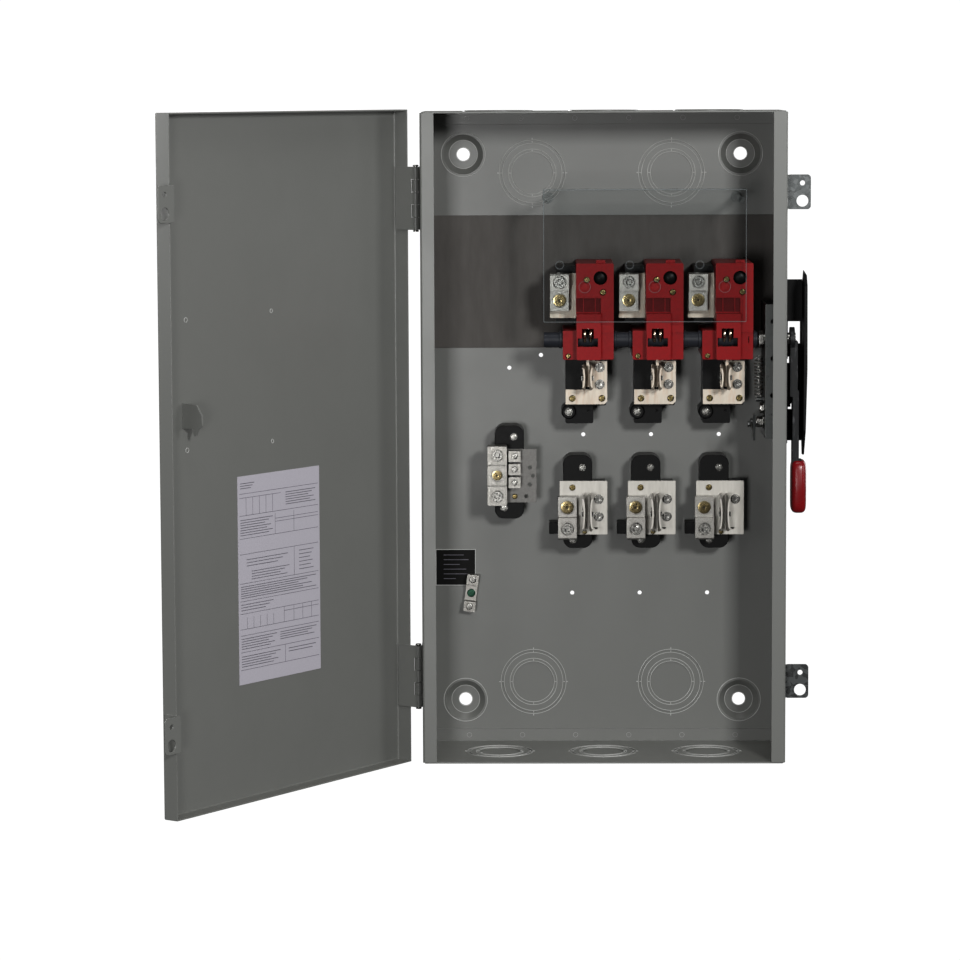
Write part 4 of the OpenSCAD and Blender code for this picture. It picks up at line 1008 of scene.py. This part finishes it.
@dataclass(frozen=True)
class Pressings:
    """Marks that the press and the spot welder left in the sheet, in lighter enamel: a painted highlight on each edge
    and rim.
    """

    shop: Workshop
    knock_x: float = 76.5
    knock_edge: float = 67.0
    knock_r: float = 37.8
    knock_step: float = 6.6
    end_pitch: float = 113.5
    sheet: float = 1.6
    mount_x: float = 152.4
    mount_z: float = 303.5
    dimple_r: float = 24.2
    hole_r: float = 7.2

    def build(self) -> None:
        """Adds the knockout edges and ties, weld marks and hinge welds."""
        wrap = self.shop.extent("box_wrap")
        self._back_knockouts(wrap)
        self._end_knockouts(wrap)
        self._welds(wrap)

    def _knockout(self, form: Form, place: Matrix) -> None:
        """Adds the pressed edges of one knockout seen from inside, and the ties between its rings."""
        outer, inner = self.knock_r - self.sheet, self.knock_r - 2 * self.knock_step - self.sheet
        for radius in (outer, self.knock_r - self.knock_step + self.sheet, inner + 2 * self.sheet, inner):
            form.ring(place, radius, 0.4, 72)
        for k in range(4):
            turned = place @ Matrix.Rotation(math.pi / 2 * k, 4, "Z")
            for radius, half in ((outer + 1.2, 0.5), (outer - 2.2, 0.4), (inner + 1.5, 0.4)):
                form.box((radius - 1.0, -half, -0.1), (radius + 1.0, half, 0.5), turned)

    def _back_knockouts(self, wrap: Extent) -> None:
        """Four in the back wall."""
        # Pressed edges, ties and hole rims in lighter enamel: a painted highlight
        form = Form().use(Surface.ENAMEL_HIGHLIGHT)
        inside = self._inside()
        for sx in (-1, 1):
            for sz in (-1, 1):
                z = sz * (wrap.size.z / 2 - self.knock_edge)
                self._knockout(form, on_wall(sx * self.knock_x, inside, z))
                hole = on_wall(sx * self.mount_x, inside, sz * self.mount_z)
                form.ring(hole, self.dimple_r, 0.45, 64)
                form.ring(hole, self.dimple_r - 8.6, 0.4, 64, height=-5.9)
                form.ring(hole, self.hole_r + 0.5, 0.4, 48, height=-5.8)
        self.shop.add("back_knockout_edges", form, "box_wrap")

    def _inside(self) -> float:
        """Inner face of the back wall: where the long insulating bases stand."""
        return self.shop.extent("neutral_base").high.y + 0.05

    def _end_knockouts(self, wrap: Extent) -> None:
        """Three in each end wall."""
        for name, way in (("top_wall", 1), ("bottom_wall", -1)):
            end = self.shop.extent(name)
            # Pressed edges and ties in lighter enamel: a painted highlight
            form = Form().use(Surface.ENAMEL_HIGHLIGHT)
            inner = (end.high.z - 1.0 - self.sheet) if way > 0 else (end.low.z + 1.0 + self.sheet)
            depth = (wrap.low.y + self._inside() + self.sheet) / 2
            for k in (-1, 0, 1):
                place = Matrix.Translation((k * self.end_pitch, depth, inner)) @ Matrix.Rotation(
                    math.pi if way > 0 else 0.0, 4, "X")
                self._knockout(form, place)
            self.shop.add(f"{name}_knockout_edges", form, name)

    def _welds(self, wrap: Extent) -> None:
        """Spot welds: a raised rim each, in lighter enamel: a painted highlight."""
        # Weld rims in lighter enamel: a painted highlight
        form = Form().use(Surface.ENAMEL_HIGHLIGHT)
        inside = self._inside()
        for sz in (-1, 1):
            for k in range(6):
                x = (k - 2.5) * wrap.size.x / 6.6
                form.ring(on_wall(x, inside - self.sheet - 0.1, sz * (wrap.high.z - 7)), 2.6, 0.16, 24)
        for sz in (-1, 1):
            for dz in (-18, 18):
                leaf = self.shop.extent("box_hinge_leaves")
                side = facing_left(leaf.high.x - self.sheet, leaf.high.y - 7, sz * (leaf.high.z - 33.75) + dz)
                form.ring(side, 2.4, 0.2, 24)
        self.shop.add("spot_weld_marks", form, "box_wrap")
        opened = self.shop.opened_door()
        face = self.shop.shut_box("door_label")
        # Door weld rims in lighter enamel: a painted highlight
        form = Form().use(Surface.ENAMEL_HIGHLIGHT)
        axis_x = self.shop.extent("hinge_pins").centre.x
        for reach, z, radius in ((356, 147, 2.4), (356, 16, 2.4), (218, 149, 2.0), (218, 14, 2.0)):
            form.ring(opened @ on_wall(axis_x + reach, face.low.y, z), radius, 0.35, 24)
        self.shop.add("door_weld_marks", form, "door_pan")


@dataclass
class Mouldings:
    """Fine moulded detail of the arc covers."""

    shop: Workshop
    step: float = 10.0
    sunk: float = 3.0
    pole_right: float = 27.9
    nub: float = 3.4

    def build(self) -> None:
        """Adds the rails, a darker red over the sunken field as painted shade, and the vent plug of each arc cover."""
        for number in POLES:
            cover = self.shop.extent(f"arc_cover_{number}")
            face = cover.low.y + self.step
            pole, top = cover.high.x - self.pole_right, cover.high.z - self.nub
            # Darker red laid over the sunken field's floor: painted shade of the recess
            form = Form().use(Surface.RED_PAINTED_SHADE)
            field_y = face + self.sunk
            form.box((pole - 12.1, field_y - 0.12, top - 52.2), (pole + 13.6, field_y + 0.2, top - 37.2))
            form.use(Surface.RED)
            for dx in (-5.2, 7.6):
                form.box((pole + dx, field_y - 1.4, top - 52.2), (pole + dx + 0.9, field_y, top - 37.2))
            form.box((pole - 12.3, field_y - 2.6, top - 37.4), (pole + 13.8, field_y, top - 36.7))
            form.use(Surface.PHENOLIC).lathe(on_wall(pole + 13.6, face + 8.5, top - 15.6),
                                             [(7.35, 0.0), (7.35, 1.0), (6.2, 2.2), (3.4, 2.9), (0.2, 3.1)], 40)
            self.shop.add(f"arc_cover_{number}_mouldings", form, f"arc_cover_{number}")


@dataclass
class Studio:
    """Camera, lights and white surroundings."""

    eye: tuple[float, float, float] = (-0.0593, -4.0806, 0.3816)
    yaw_deg: float = -1.07
    pitch_deg: float = -6.14
    roll_deg: float = 0.24
    lens_mm: float = 138.4
    gamma: float = 0.86

    def build(self) -> None:
        """Makes the whole studio."""
        self._camera()
        self._world()
        self._lights()

    def _camera(self) -> None:
        """Places the camera on its stand."""
        lens = bpy.data.cameras.new("camera")
        lens.lens = self.lens_mm
        lens.sensor_width = 36.0
        lens.clip_end = 60.0
        camera = bpy.data.objects.new("camera", lens)
        bpy.context.scene.collection.objects.link(camera)
        turn = (Matrix.Rotation(math.radians(-self.yaw_deg), 4, "Z")
                @ Matrix.Rotation(math.radians(90 + self.pitch_deg), 4, "X")
                @ Matrix.Rotation(math.radians(-self.roll_deg), 4, "Z"))
        camera.matrix_world = Matrix.Translation(self.eye) @ turn
        bpy.context.scene.camera = camera

    def _world(self) -> None:
        """White surroundings to the camera; to the object, a room that is dark in front and pale above."""
        scene = bpy.context.scene
        scene.view_settings.view_transform = "Standard"
        scene.view_settings.gamma = self.gamma
        world = bpy.data.worlds.new("studio_white")
        scene.world = world
        world.use_nodes = True
        tree = world.node_tree
        tree.nodes.clear()
        way = add(tree, "ShaderNodeTexCoord")
        split = add(tree, "ShaderNodeSeparateXYZ", {}, Vector=way.outputs["Generated"])
        depth = add(tree, "ShaderNodeMapRange", {"From Min": -1.0, "From Max": 0.1, "To Min": 0.05, "To Max": 0.23},
                    Value=split.outputs["Y"])
        above = add(tree, "ShaderNodeMapRange", {"From Min": -0.1, "From Max": 0.9, "To Min": 0.6, "To Max": 1.3},
                    Value=split.outputs["Z"])
        room = add(tree, "ShaderNodeMath", {"operation": "MULTIPLY"}, in_0=depth.outputs["Result"],
                   in_1=above.outputs["Result"])
        path = add(tree, "ShaderNodeLightPath")
        strength = add(tree, "ShaderNodeMix", {"data_type": "FLOAT", 3: 1.05})
        tree.links.new(path.outputs["Is Camera Ray"], strength.inputs[0])
        tree.links.new(room.outputs[0], strength.inputs[2])
        white = add(tree, "ShaderNodeBackground", {"Color": (1, 1, 1, 1)}, Strength=strength.outputs[0])
        add(tree, "ShaderNodeOutputWorld", {}, Surface=white.outputs["Background"])

    def _lights(self) -> None:
        """Soft boxes at the right, the left, above and behind."""
        self._soft_box("key_light", (1.05, -3.3, 1.0), (0.0, 0.0, 0.0), 0.45, 72)
        self._soft_box("fill_light", (-1.9, -2.6, 0.5), (0.0, 0.0, 0.0), 0.9, 8)
        self._soft_box("front_light", (-0.75, -4.3, -0.1), (0.0, 0.0, 0.0), 0.6, 40)
        self._soft_box("side_light", (2.4, -0.9, 0.4), (-0.3, -0.3, 0.0), 0.8, 17)
        self._soft_box("top_light", (0.0, -1.0, 2.2), (0.0, -0.1, 0.0), 1.0, 16)
        self._soft_box("back_light", (-1.5, 2.6, 0.9), (0.0, 0.0, 0.0), 1.2, 45)
        self._soft_box("back_fill", (1.9, 2.2, 0.3), (0.0, 0.0, 0.0), 1.2, 18)
        self._soft_box("hinge_light", (-2.3, -0.55, 0.5), (-0.2, -0.12, 0.0), 0.4, 14)

    def _soft_box(self, name: str, place: Point, aim: Point, size: float, watts: float) -> None:
        """Adds one square area light.

        Args:
            name: its name.
            place: where it hangs.
            aim: the point that it faces.
            size: its side.
            watts: its power.
        """
        lamp = bpy.data.lights.new(name, "AREA")
        lamp.energy = watts
        lamp.size = size
        light = bpy.data.objects.new(name, lamp)
        light.location = place
        light.rotation_euler = (Vector(aim) - Vector(place)).to_track_quat("-Z", "Y").to_euler()
        bpy.context.scene.collection.objects.link(light)


def main() -> None:
    """Builds the whole scene."""
    logging.basicConfig(level=logging.INFO, format="%(message)s")
    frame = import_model()
    Studio().build()
    shop = Workshop(frame)
    for coat in COATS:
        for name in coat.names:
            shop.dress(name, coat.surface, coat.edge_mm)
    for assembly in (Fasteners, FuseClips, Mechanism, Grip, Shield, Labels, Pressings, Mouldings):
        LOG.info("building the %s", assembly.__name__.lower())
        assembly(shop).build()


if __name__ == "__main__":
    main()
